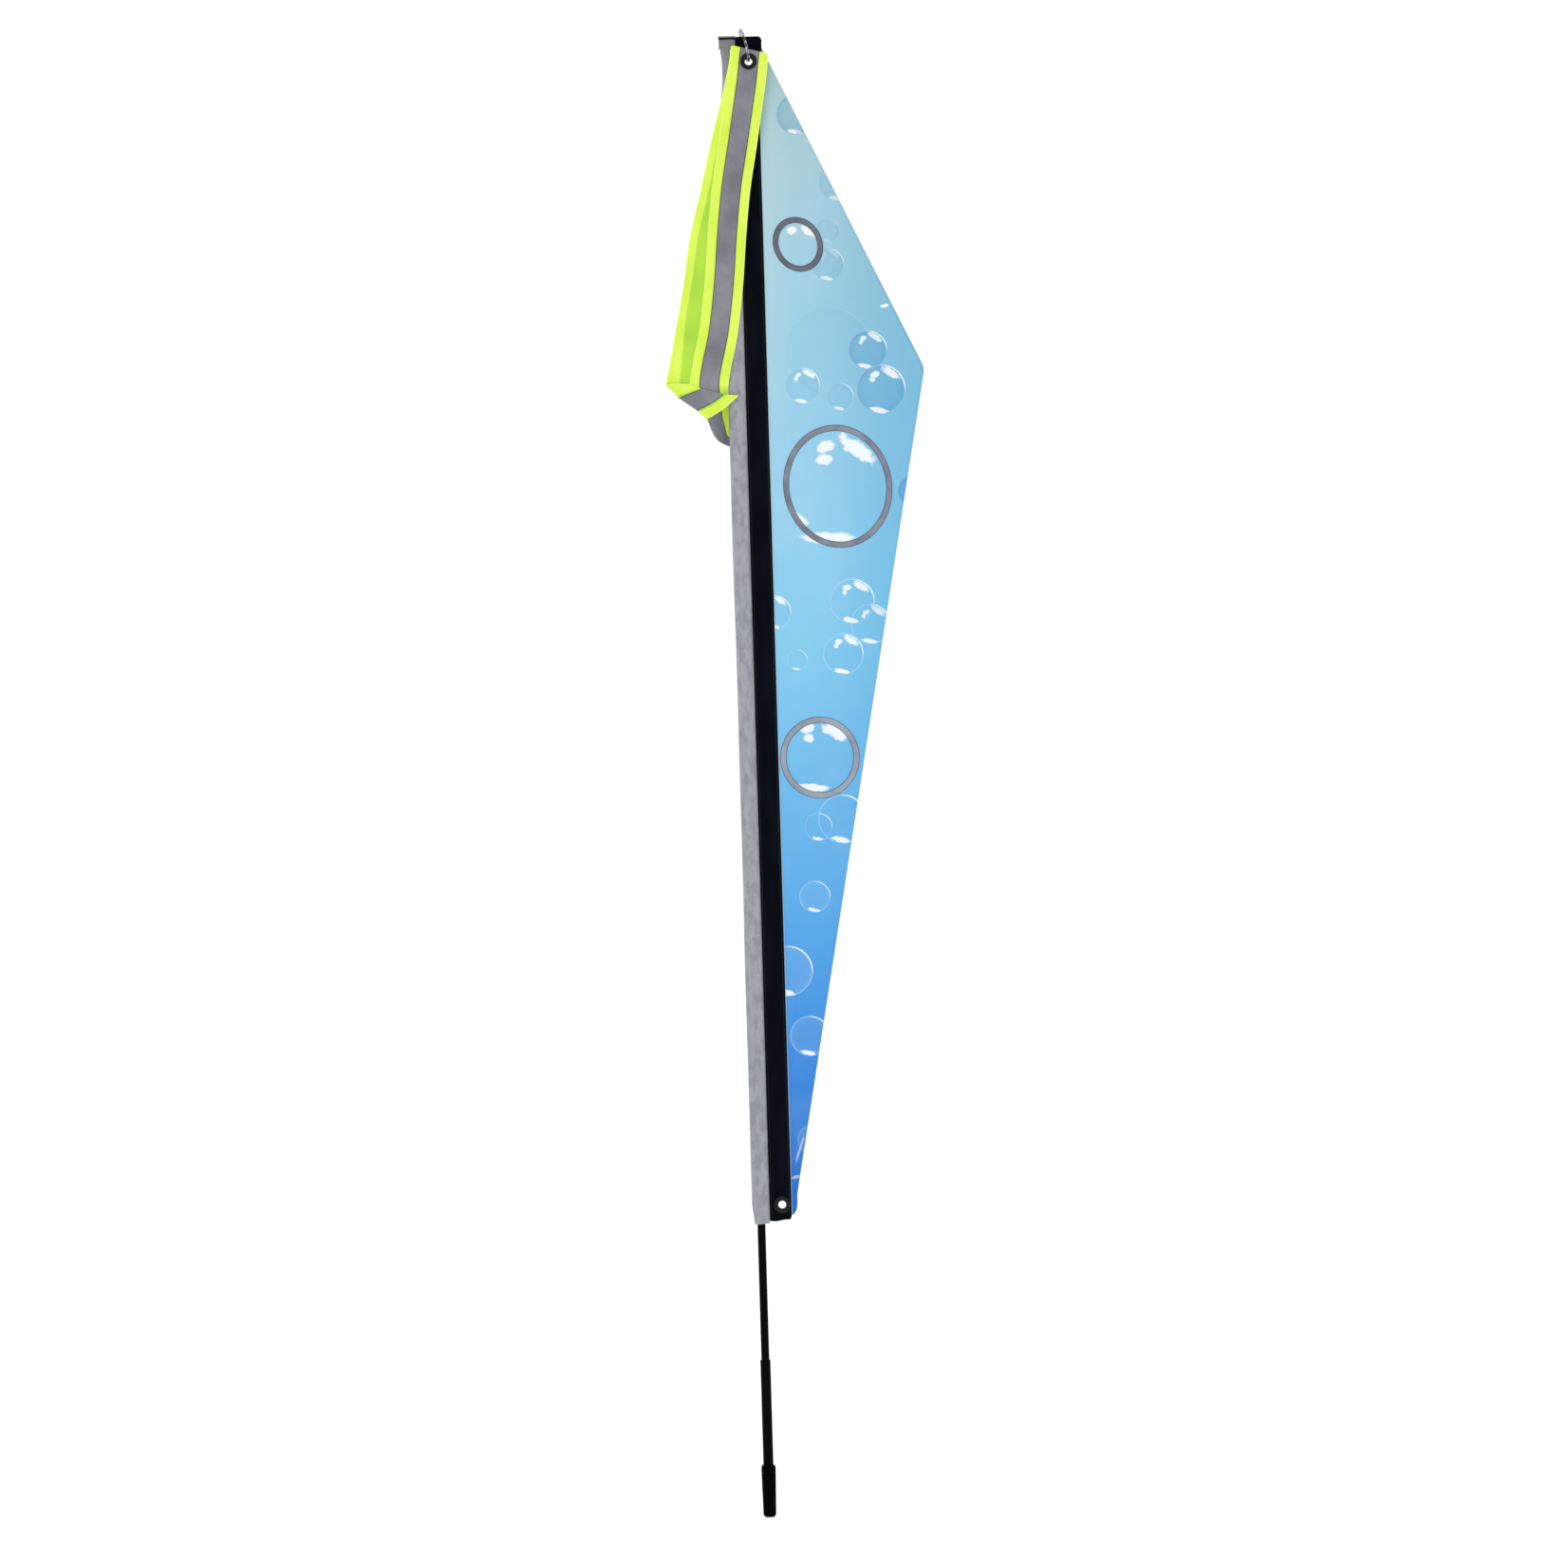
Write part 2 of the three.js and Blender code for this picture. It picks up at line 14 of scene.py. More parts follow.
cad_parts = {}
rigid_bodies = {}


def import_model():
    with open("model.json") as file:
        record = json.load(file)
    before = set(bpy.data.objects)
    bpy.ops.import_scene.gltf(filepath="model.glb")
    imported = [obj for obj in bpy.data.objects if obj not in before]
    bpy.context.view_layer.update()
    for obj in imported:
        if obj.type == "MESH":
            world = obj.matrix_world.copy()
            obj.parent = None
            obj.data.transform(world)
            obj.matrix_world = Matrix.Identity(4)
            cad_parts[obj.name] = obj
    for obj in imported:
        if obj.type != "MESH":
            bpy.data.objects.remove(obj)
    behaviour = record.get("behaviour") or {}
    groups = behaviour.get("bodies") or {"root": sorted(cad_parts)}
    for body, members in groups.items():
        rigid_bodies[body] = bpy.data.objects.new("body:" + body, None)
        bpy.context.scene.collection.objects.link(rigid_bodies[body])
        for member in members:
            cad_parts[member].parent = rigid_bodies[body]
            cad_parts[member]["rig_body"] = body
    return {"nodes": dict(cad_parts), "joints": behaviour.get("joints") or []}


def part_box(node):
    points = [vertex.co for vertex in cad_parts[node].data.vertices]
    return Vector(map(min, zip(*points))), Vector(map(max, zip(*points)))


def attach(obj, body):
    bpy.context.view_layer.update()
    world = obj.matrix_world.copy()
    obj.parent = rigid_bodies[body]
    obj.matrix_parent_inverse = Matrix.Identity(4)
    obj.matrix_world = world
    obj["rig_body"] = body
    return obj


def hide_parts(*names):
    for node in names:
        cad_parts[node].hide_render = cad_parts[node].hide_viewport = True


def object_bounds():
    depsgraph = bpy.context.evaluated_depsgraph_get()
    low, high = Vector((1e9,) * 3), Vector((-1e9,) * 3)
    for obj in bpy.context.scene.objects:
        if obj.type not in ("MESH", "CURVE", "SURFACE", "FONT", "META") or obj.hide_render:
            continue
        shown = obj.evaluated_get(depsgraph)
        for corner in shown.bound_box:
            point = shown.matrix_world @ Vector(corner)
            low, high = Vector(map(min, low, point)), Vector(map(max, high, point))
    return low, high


MM = 0.001
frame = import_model()
cad_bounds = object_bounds()


# ---------------------------------------------------------------- the frame in millimetres


def box_mm(node):
    """Lowest and highest corner of a CAD node, in millimetres."""
    low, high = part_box(node)
    return low / MM, high / MM


def middle(node):
    """Centre of a CAD node, in millimetres."""
    low, high = box_mm(node)
    return (low + high) / 2


def slice_edges(node):
    """A function of height that gives the lowest and highest x of a CAD node there."""
    mesh = frame["nodes"][node].data
    points = [v.co / MM for v in mesh.vertices]
    edges = [(points[e.vertices[0]], points[e.vertices[1]]) for e in mesh.edges]
    low, high = box_mm(node)

    def at(z):
        level = min(max(z, low.z + 0.01), high.z - 0.01)
        found = []
        for a, b in edges:
            if (a.z - level) * (b.z - level) <= 0 and abs(a.z - b.z) > 1e-6:
                found.append(a.x + (b.x - a.x) * (level - a.z) / (b.z - a.z))
        return min(found), max(found)

    return at


def smooth(value):
    """Eases from 0 to 1 as value goes from 0 to 1."""
    t = min(max(value, 0.0), 1.0)
    return t * t * (3 - 2 * t)


def lerp(a, b, share):
    return a + (b - a) * share


def corner_cut(into, radius):
    """How far a round corner falls back from its edge, `into` millimetres past the corner's start."""
    share = max(0.0, into / radius)
    return radius * (1 - math.sqrt(max(0.0, 1 - share**2)))


SLEEVE_LOW, SLEEVE_HIGH = box_mm("pole_sleeve")
HEADER_LOW, HEADER_HIGH = box_mm("header_front")
PANEL_LOW, PANEL_HIGH = box_mm("flag_panel")
GROMMET = middle("tail_grommet")
LOWER_GROMMET = middle("lower_grommet")
HEADER_LEFT, HEADER_RIGHT = HEADER_LOW.x, HEADER_HIGH.x


# ---------------------------------------------------------------- camera


def make_camera():
    """A long lens in front of the flag, rolled so that the pole leans as it does in the picture."""
    low, high = cad_bounds
    right_of_pole, below_middle = 0.0439, 0.0144
    aim = Vector((right_of_pole, 0.0, (low.z + high.z) / 2 - below_middle))
    field_width = 1.9395
    distance = 8.0
    roll = math.radians(1.68)
    data = bpy.data.cameras.new("camera")
    data.sensor_width = 36
    data.lens = data.sensor_width * distance / field_width
    data.clip_end = 60
    camera = bpy.data.objects.new("camera", data)
    bpy.context.scene.collection.objects.link(camera)
    camera.location = aim - Vector((0, distance, 0))
    upright = Euler((math.pi / 2, 0, 0)).to_matrix()
    camera.rotation_euler = (Matrix.Rotation(roll, 3, "Y") @ upright).to_euler()
    bpy.context.scene.camera = camera


make_camera()


# ---------------------------------------------------------------- shader nodes


def colour(red, stripe_shade_tone, blue):
    """A display colour from 0 to 255 as the linear colour that shaders use."""

    def linear(value):
        v = value / 255
        return v / 12.92 if v <= 0.04045 else ((v + 0.055) / 1.055) ** 2.4

    return (linear(red), linear(stripe_shade_tone), linear(blue), 1.0)


class Tree:
    """A short way to write a node tree: each method adds a node and returns its output."""

    def __init__(self, tree):
        self.tree = tree

    def add(self, kind, inputs=None, **settings):
        node = self.tree.nodes.new(kind)
        for key, value in settings.items():
            setattr(node, key, value)
        for key, value in (inputs or {}).items():
            self.feed(node.inputs[key], value)
        return node

    def feed(self, socket, value):
        if isinstance(value, bpy.types.NodeSocket):
            self.tree.links.new(value, socket)
        else:
            socket.default_value = value

    def math(self, operation, a, b=0.0, clamp=False):
        node = self.add("ShaderNodeMath", {0: a, 1: b}, operation=operation, use_clamp=clamp)
        return node.outputs[0]

    def times(self, a, b, clamp=False):
        return self.math("MULTIPLY", a, b, clamp)

    def plus(self, a, b):
        return self.math("ADD", a, b)

    def minus(self, a, b):
        return self.math("SUBTRACT", a, b)

    def larger(self, a, b):
        return self.math("MAXIMUM", a, b)

    def vector(self, operation, a, b=(0, 0, 0)):
        node = self.add("ShaderNodeVectorMath", {0: a, 1: b}, operation=operation)
        return node.outputs["Value" if operation in ("LENGTH", "DOT_PRODUCT") else "Vector"]

    def band(self, value, low, high, out_low=0.0, out_high=1.0):
        """Eases from out_low to out_high as value goes from low to high."""
        node = self.add(
            "ShaderNodeMapRange",
            {"Value": value, "From Min": low, "From Max": high, "To Min": out_low, "To Max": out_high},
            interpolation_type="SMOOTHSTEP",
        )
        return node.outputs["Result"]

    def band_linear(self, value, low, high):
        """Runs evenly from 0 to 1 as value goes from low to high."""
        node = self.add("ShaderNodeMapRange", {"Value": value, "From Min": low, "From Max": high})
        return node.outputs["Result"]

    def oval(self, place, x, z, half_wide, half_high, tilt):
        """Distance from the middle of a tilted oval, counted so that it is 1 on the oval's edge."""
        turn = math.radians(tilt)
        away = self.vector("SUBTRACT", place, (x, 0, z))
        along_way = (math.cos(turn) / half_wide, 0, math.sin(turn) / half_wide)
        aside_way = (-math.sin(turn) / half_high, 0, math.cos(turn) / half_high)
        along = self.math("POWER", self.vector("DOT_PRODUCT", away, along_way), 2.0)
        aside = self.math("POWER", self.vector("DOT_PRODUCT", away, aside_way), 2.0)
        return self.math("SQRT", self.plus(along, aside))

    def blend(self, share, a, b, kind="MIX"):
        node = self.add("ShaderNodeMix", data_type="RGBA", blend_type=kind)
        self.feed(node.inputs[0], share)
        self.feed(node.inputs[6], a)
        self.feed(node.inputs[7], b)
        return node.outputs[2]

    def noise(self, place, scale, detail=3.0, roughness=0.5):
        inputs = {"Vector": place, "Scale": scale, "Detail": detail, "Roughness": roughness}
        return self.add("ShaderNodeTexNoise", inputs).outputs[0]

    def weave(self, place, pitch):
        """Warp and weft threads of a plain weave, `pitch` metres apart."""
        turns = math.pi / pitch
        parts = self.add("ShaderNodeSeparateXYZ", {0: place})
        warp = self.math("SINE", self.times(parts.outputs[0], turns))
        weft = self.math("SINE", self.times(parts.outputs[2], turns))
        return self.times(warp, weft)

    def ramp(self, value, stops):
        node = self.add("ShaderNodeValToRGB", {0: value})
        elements = node.color_ramp.elements
        elements[0].position, elements[0].color = stops[0]
        elements[1].position, elements[1].color = stops[-1]
        for position, tone in stops[1:-1]:
            elements.new(position).color = tone
        return node.outputs[0]


class Surface(Tree):
    """A material with one principled shader, and the object coordinates that its textures use."""

    def __init__(self, name, **sockets):
        self.material = bpy.data.materials.new(name)
        self.material.use_nodes = True
        super().__init__(self.material.node_tree)
        self.shader = self.tree.nodes["Principled BSDF"]
        for key, value in sockets.items():
            self.feed(self.shader.inputs[key.replace("_", " ")], value)
        self.place = self.add("ShaderNodeTexCoord").outputs["Object"]

    def put(self, socket, value):
        self.feed(self.shader.inputs[socket], value)

    def streaks(self, scales, detail, roughness=0.5):
        """Noise with its own scale along x, y and z."""
        return self.noise(self.vector("MULTIPLY", self.place, scales), 1.0, detail, roughness)

    def attribute(self, name):
        """The number that `mark` stored at each point."""
        return self.add("ShaderNodeAttribute", attribute_name=name).outputs["Fac"]

    def bump(self, height, strength, distance):
        inputs = {"Height": height, "Strength": strength, "Distance": distance}
        if self.shader.inputs["Normal"].is_linked:
            inputs["Normal"] = self.shader.inputs["Normal"].links[0].from_socket
        self.put("Normal", self.add("ShaderNodeBump", inputs).outputs[0])


# ---------------------------------------------------------------- the panel's print


def bubble_group():
    """One printed bubble: how strongly it tints the ground, and how much white light it adds.

    Its inputs are the place on the flag in millimetres, the bubble's centre and radius, how brightly its rim
    and its lower light shine, and how bright the reflected windows are beside them.
    """
    group = bpy.data.node_groups.new("bubble", "ShaderNodeTree")
    for name in ("Place", "Centre"):
        group.interface.new_socket(name, in_out="INPUT", socket_type="NodeSocketVector")
    for name in ("Radius", "Shine", "Windows"):
        group.interface.new_socket(name, in_out="INPUT", socket_type="NodeSocketFloat")
    for name in ("Disc", "Light"):
        group.interface.new_socket(name, in_out="OUTPUT", socket_type="NodeSocketFloat")
    t = Tree(group)
    given = t.add("NodeGroupInput").outputs
    offset = t.vector("SUBTRACT", given["Place"], given["Centre"])
    scaled = t.add("ShaderNodeVectorMath", {0: offset}, operation="SCALE")
    t.feed(scaled.inputs["Scale"], t.math("DIVIDE", 1.0, given["Radius"]))
    local = scaled.outputs[0]
    reach = t.vector("LENGTH", local)
    disc = t.band(reach, 1.015, 0.985)
    limb = t.math("POWER", reach, 5.0)

    def facing(angle, spread):
        """How nearly the place lies in one direction from the centre, from 0 to 1."""
        way = (math.cos(math.radians(angle)), 0, math.sin(math.radians(angle)))
        return t.band(t.vector("DOT_PRODUCT", local, way), 1 - spread, 1.0)

    def blob(across, up, wide, high, tilt):
        """A soft-edged oval of light, with a ragged border as clouds in a reflection have."""
        far = t.oval(local, across, up, wide, high, tilt)
        return t.band(t.plus(far, ragged), 1.15, 0.75)

    cloud = t.noise(given["Place"], 0.16, 3.0, 0.6)
    ragged = t.times(t.minus(cloud, 0.5), 1.3)
    rim = t.times(t.band(reach, 0.93, 0.985), t.band(reach, 1.02, 0.995))
    arc = t.times(rim, t.plus(t.times(facing(42, 0.45), 1.3), 0.28))
    windows = t.larger(blob(0.40, 0.66, 0.42, 0.15, -34), blob(-0.22, 0.60, 0.20, 0.13, 20))
    windows = t.larger(windows, blob(-0.34, 0.40, 0.11, 0.11, 0))
    windows = t.times(windows, given["Windows"])
    lens = blob(-0.08, -0.86, 0.42, 0.12, -14)
    light = t.larger(arc, t.larger(windows, lens))
    light = t.times(t.times(light, given["Shine"]), disc, clamp=True)
    shaded = t.times(disc, t.plus(0.45, t.times(limb, 0.55)))
    t.add("NodeGroupOutput", {"Disc": shaded, "Light": light})
    return group


# Printed bubbles: centre x and z, radius, depth of tint (negative is paler), shine and window lights.
BUBBLES = [
    (84, 1733, 25.5, 0.9, 0.40, 0.0),
    (131, 1647, 23, 0.45, 0.55, 0.4),
    (118, 1588, 14.5, 0.30, 0.25, 0.3),
    (117, 1546, 20, 0.50, 0.7, 0.3),
    (116, 1439, 54, 0.14, 0.06, 0.0),
    (163, 1439, 24, 1.0, 0.9, 0.9),
    (178, 1390, 30.5, 0.9, 0.9, 1.0),
    (81, 1397, 22, 0.34, 0.9, 1.0),
    (127, 1382, 17, 0.26, 0.75, 0.0),
    (215, 1263, 20, 1.2, 0.8, 1.0),
    (38, 1118, 21, 0.20, 0.9, 1.0),
    (135, 1129, 27.6, 0.12, 0.9, 1.0),
    (157, 1100, 24.6, 0.10, 0.9, 0.8),
    (122, 1064, 25, 0.10, 1.0, 1.0),
    (65, 1058, 12.6, 0.08, 0.8, 0.0),
    (115, 860, 30, 0.06, 0.95, 0.0),
    (85, 851, 17, 0.06, 0.9, 0.0),
    (78, 765, 19.3, -0.16, 0.9, 0.0),
    (42, 674, 31, -0.22, 0.95, 0.0),
    (67, 593, 24.6, -0.20, 0.95, 0.0),
    (66, 465, 18, -0.14, 0.6, 0.0),
]
# Clouds of light in the reflective circles, and a few streaks: x, z, half sizes, tilt and strength.
GLINTS = [
    (73.5, 1590, 6, 4.5, 20, 1.0),
    (95, 1588, 11, 5, -35, 1.0),
    (108, 1321, 10, 7, 15, 1.0),
    (105, 1305, 9, 6.5, 0, 1.0),
    (146, 1317, 25, 8.5, -38, 1.0),
    (72, 1233, 11, 5, -40, 1.0),
    (108, 1208, 33, 6.5, -3, 1.0),
    (75, 973, 8, 5, 10, 1.0),
    (77, 961, 6, 5, 0, 1.0),
    (108, 968, 17, 6.5, -30, 1.0),
    (78, 900, 20, 4.5, -5, 1.0),
    (77, 1712, 5.5, 2.2, -15, 0.8),
    (185, 1493, 5, 2, 10, 1.0),
    (45, 419, 7, 2.2, 12, 0.4),
    (51, 455, 16, 1.5, 71, 0.4),
]
# The sky that the print fades through, from the lower tip up: height and colour.
SKY = [
    (372, (30, 104, 200)),
    (432, (36, 116, 208)),
    (573, (62, 142, 224)),
    (714, (84, 164, 233)),
    (855, (106, 183, 236)),
    (1066, (134, 204, 239)),
    (1277, (150, 207, 236)),
    (1488, (158, 207, 226)),
    (1650, (170, 206, 220)),
    (1740, (166, 200, 208)),
    (1823, (150, 182, 178)),
]


def print_material():
    """Dye-printed polyester: a sky gradient with bubbles and their reflections."""
    s = Surface("panel_print", Roughness=0.72, Sheen_Weight=0.12, Sheen_Roughness=0.4)
    s.put("Specular IOR Level", 0.25)
    parts = s.add("ShaderNodeSeparateXYZ", {0: s.place})
    height = parts.outputs[2]
    low, high = PANEL_LOW.z, PANEL_HIGH.z
    drift = s.times(s.minus(s.noise(s.place, 4.5, 2.0), 0.5), 0.07)
    level = s.plus(s.band_linear(height, low * MM, high * MM), drift)
    sky = s.ramp(level, [((z - low) / (high - low), colour(*tone)) for z, tone in SKY])

    pale = s.times(s.band(s.noise(s.place, 7.0, 3.0, 0.6), 0.45, 0.75), 0.14)
    sky = s.blend(pale, sky, colour(190, 225, 240))
    # Painted highlight: the print is lightened beside the header towards the top, as a soft band of light.
    beside_header = s.band(parts.outputs[0], (HEADER_RIGHT + 42) * MM, (HEADER_RIGHT + 2) * MM)
    near_top = s.band(height, 1.15, 1.6)
    painted_highlight_by_header = s.times(s.times(beside_header, near_top), 0.35)
    sky = s.blend(painted_highlight_by_header, sky, colour(196, 220, 228))
    # Painted shade: the print darkens and deepens towards the free edge, as the curved panel turns from the
    # light.
    outward_share = s.band(parts.outputs[0], (HEADER_RIGHT + 30) * MM, PANEL_HIGH.x * MM)
    painted_shade_outward = s.blend(1.0, sky, colour(206, 232, 244), "MULTIPLY")
    sky = s.blend(outward_share, sky, painted_shade_outward)
    piping = s.band(parts.outputs[0], (HEADER_RIGHT + 1.1) * MM, (HEADER_RIGHT + 0.5) * MM)
    sky = s.blend(s.times(piping, 0.6), sky, colour(226, 238, 246))

    spot = s.add("ShaderNodeVectorMath", {0: s.place}, operation="SCALE")
    spot.inputs["Scale"].default_value = 1 / MM
    flat = s.vector("MULTIPLY", spot.outputs[0], (1, 0, 1))
    group = bubble_group()
    tone, deep = sky, s.blend(1.0, sky, colour(186, 216, 236), "MULTIPLY")
    for x, z, radius, depth, shine, windows in BUBBLES:
        node = s.add("ShaderNodeGroup", node_tree=group)
        s.feed(node.inputs["Place"], flat)
        node.inputs["Centre"].default_value = (x, 0, z)
        node.inputs["Radius"].default_value = radius
        node.inputs["Shine"].default_value = shine
        node.inputs["Windows"].default_value = windows
        tint = deep if depth >= 0 else colour(176, 218, 245)
        share = s.times(node.outputs["Disc"], abs(depth))
        tone = s.blend(share, tone, tint)
        tone = s.blend(s.times(node.outputs["Light"], 0.95), tone, colour(246, 252, 255))
    tone = s.blend(s.times(glints(s, flat), 0.93), tone, colour(246, 252, 254))
    s.put("Base Color", tone)
    s.bump(s.weave(s.place, 0.0006), 0.25, 0.00006)
    s.bump(s.streaks((60, 60, 9), 3.0), 0.25, 0.0006)
    return s.material


def glints(s, flat):
    """The ragged clouds of light in the reflective circles, joined into one mask."""
    ragged = s.times(s.minus(s.noise(flat, 0.09, 4.0, 0.62), 0.5), 1.7)
    total = None
    for x, z, wide, high, tilt, strength in GLINTS:
        far = s.oval(flat, x, z, wide, high, tilt)
        mask = s.times(s.band(s.plus(far, ragged), 1.25, 0.8), strength)
        total = mask if total is None else s.larger(total, mask)
    return total


# ---------------------------------------------------------------- other materials


def sleeve_material():
    """Grey retroreflective cloth, blotchy where it has been handled, with painted shade near its top and
    along its folded sides.
    """
    s = Surface("sleeve_cloth", Roughness=0.55, Sheen_Weight=0.25, Sheen_Roughness=0.35)
    blotches = s.streaks((130, 130, 60), 5.0, 0.62)
    grain = s.noise(s.place, 1400, 2.0, 0.7)
    tone = s.blend(s.band(blotches, 0.34, 0.62), colour(140, 144, 151), colour(164, 168, 174))
    tone = s.blend(s.times(grain, 0.18), tone, colour(118, 122, 130))
    # Painted shade: the cloth is darkened near the sleeve's top, where it lies in shadow.
    height = s.add("ShaderNodeSeparateXYZ", {0: s.place}).outputs[2]
    shaded = s.band(height, (SLEEVE_HIGH.z - 70) * MM, (SLEEVE_HIGH.z - 40) * MM)
    tone = s.blend(s.times(shaded, 0.75), tone, colour(122, 120, 119))
    # Painted shade: the cloth darkens along the sleeve's two folded sides, where the loop turns away.
    edge = s.band(s.attribute("edge"), 0.965, 0.995)
    tone = s.blend(s.times(edge, 0.7), tone, colour(92, 95, 102))
    s.put("Base Color", tone)
    s.put("Roughness", s.band(blotches, 0.3, 0.7, 0.48, 0.64))
    s.bump(s.weave(s.place, 0.0007), 0.3, 0.00008)
    s.bump(s.streaks((70, 70, 25), 3.0), 0.5, 0.0012)
    return s.material


def black_cloth_material(name, pitch):
    """Matt black woven cloth with a blue cast in its highlights and a little lint."""
    s = Surface(name, Roughness=0.85, Sheen_Weight=0.012, Sheen_Roughness=0.5)
    s.put("Specular IOR Level", 0.04)
    wear = s.streaks((45, 45, 12), 4.0)
    lint = s.band(s.noise(s.place, 900, 1.0), 0.72, 0.8)
    tone = s.blend(s.band(wear, 0.35, 0.7), colour(4, 7, 14), colour(10, 14, 23))
    tone = s.blend(s.times(lint, 0.06), tone, colour(90, 96, 110))
    s.put("Base Color", tone)
    s.put("Roughness", s.band(wear, 0.3, 0.7, 0.78, 0.92))
    s.bump(s.weave(s.place, pitch), 0.5, 0.00012)
    s.bump(s.streaks((80, 80, 20), 3.0), 0.35, 0.0008)
    return s.material


def film_material(name, dark, light, border):
    """Glass-bead reflective film: fine painted sparkle over grey, small creases and a darker border."""
    s = Surface(name, Roughness=0.42, Metallic=0.15, Sheen_Weight=0.2)
    beads_and_sparkle = s.add("ShaderNodeTexVoronoi", {"Vector": s.place, "Scale": 1900.0}).outputs["Distance"]
    clouds = s.noise(s.place, 26, 4.0, 0.55)
    tone = s.blend(s.band(clouds, 0.3, 0.7), colour(*dark), colour(*light))
    # Painted sparkle: pale dots where the glass beads catch the light.
    tone = s.blend(s.times(s.band(beads_and_sparkle, 0.5, 0.1), 0.12), tone, colour(215, 220, 228))
    aside = s.attribute("aside")
    edge = s.band(aside, 1 - border, 1 - border / 2)
    tone = s.blend(s.times(edge, 0.9), tone, colour(48, 54, 54))
    s.put("Base Color", tone)
    s.put("Roughness", s.band(clouds, 0.25, 0.75, 0.36, 0.52))
    s.bump(beads_and_sparkle, 0.15, 0.00005)
    s.bump(s.streaks((90, 90, 40), 3.0), 0.3, 0.0006)
    return s.material


def neon_material():
    """Fluorescent knitted tape: rows of tiny eyelets, painted highlights along its edges, painted shade down
    the middle of the back strand and a faint painted glow.
    """
    s = Surface("neon_knit", Roughness=0.8, Sheen_Weight=0.3, Sheen_Roughness=0.5)
    knit = s.add("ShaderNodeTexVoronoi", {"Vector": s.place, "Scale": 620.0}).outputs["Distance"]
    clouds = s.noise(s.place, 18, 3.0)
    aside = s.attribute("aside")
    back = s.attribute("backing_shade")
    bright = s.blend(s.band(clouds, 0.3, 0.7), colour(202, 232, 68), colour(216, 241, 88))
    stripe_shade_tone = s.blend(s.band(clouds, 0.3, 0.7), colour(156, 206, 52), colour(174, 218, 60))
    # Painted shade: down the back strand's middle the knit is darker and greener, where the stripe sewn
    # behind it blocks the light through the mesh.
    centre = s.times(s.band(aside, 0.66, 0.52), back)
    tone = s.blend(centre, bright, stripe_shade_tone)
    tone = s.blend(s.times(s.band(knit, 0.35, 0.1), 0.22), tone, colour(176, 206, 44))
    # Painted highlight: whitish lines along the tape's edges.
    edge_highlight = s.times(s.band(aside, 0.95, 0.985), 0.6)
    tone = s.blend(edge_highlight, tone, colour(240, 255, 160))
    s.put("Base Color", tone)
    # Painted glow: the tape gives off a faint light in its own colour.
    s.put("Emission Color", tone)
    s.put("Emission Strength", 0.12)
    s.bump(knit, 0.5, 0.00018)
    s.bump(s.streaks((60, 60, 25), 2.0), 0.3, 0.0006)
    return s.material


def thread_material(name, dark, light):
    """Twisted sewing thread."""
    s = Surface(name, Roughness=0.6, Sheen_Weight=0.3)
    twist = s.noise(s.place, 2600, 2.0)
    s.put("Base Color", s.blend(s.band(twist, 0.35, 0.65), colour(*dark), colour(*light)))
    s.bump(twist, 0.4, 0.00005)
    return s.material


def plastic_material(name, tone, worn, rough):
    """Black plastic with a fine moulded grain, rubbed paler along its edges and in scuffs."""
    s = Surface(name, Roughness=rough)
    s.put("Specular IOR Level", 0.025)
    grain = s.noise(s.place, 1600, 3.0, 0.6)
    scuffs = s.streaks((240, 240, 30), 5.0, 0.65)
    edges = s.add("ShaderNodeNewGeometry").outputs["Pointiness"]
    rub = s.larger(s.band(scuffs, 0.64, 0.78), s.band(edges, 0.56, 0.66))
    s.put("Base Color", s.blend(s.times(rub, 0.5), colour(*tone), colour(*worn)))
    s.put("Roughness", s.band(scuffs, 0.3, 0.75, rough - 0.08, rough + 0.18))
    s.bump(grain, 0.15, 0.00005)
    return s.material


def tube_material():
    """Black wound tube under clear coat, with fine lengthwise drawing marks."""
    s = Surface("tube_black", Roughness=0.3)
    s.put("Specular IOR Level", 0.035)
    marks = s.streaks((900, 900, 12), 3.0)
    scuffs = s.streaks((160, 160, 26), 5.0, 0.65)
    tone = s.blend(s.times(s.band(scuffs, 0.6, 0.75), 0.5), colour(3, 4, 4), colour(20, 21, 22))
    s.put("Base Color", tone)
    s.put("Roughness", s.band(scuffs, 0.3, 0.75, 0.32, 0.55))
    s.bump(marks, 0.2, 0.00006)
    return s.material


def enamel_material():
    """Black enamelled brass of the grommets, chipped to a duller tone on its edges."""
    s = Surface("grommet_enamel", Roughness=0.4, Metallic=0.6)
    wear = s.noise(s.place, 700, 4.0, 0.6)
    edges = s.add("ShaderNodeNewGeometry").outputs["Pointiness"]
    chips = s.times(s.band(edges, 0.53, 0.62), s.band(wear, 0.45, 0.6))
    s.put("Base Color", s.blend(chips, colour(16, 21, 23), colour(70, 74, 76)))
    s.put("Roughness", s.band(wear, 0.3, 0.7, 0.32, 0.5))
    s.bump(wear, 0.12, 0.00006)
    return s.material


def steel_material():
    """Bright plated spring steel with drawing lines and a few dull patches."""
    s = Surface("ring_steel", Metallic=0.8, Roughness=0.22)
    lines = s.streaks((2500, 500, 500), 3.0)
    patches = s.noise(s.place, 220, 4.0)
    s.put("Base Color", s.blend(s.band(patches, 0.4, 0.6), colour(196, 196, 198), colour(84, 84, 88)))
    s.put("Roughness", s.band(patches, 0.3, 0.7, 0.08, 0.22))
    s.bump(lines, 0.15, 0.00004)
    return s.material


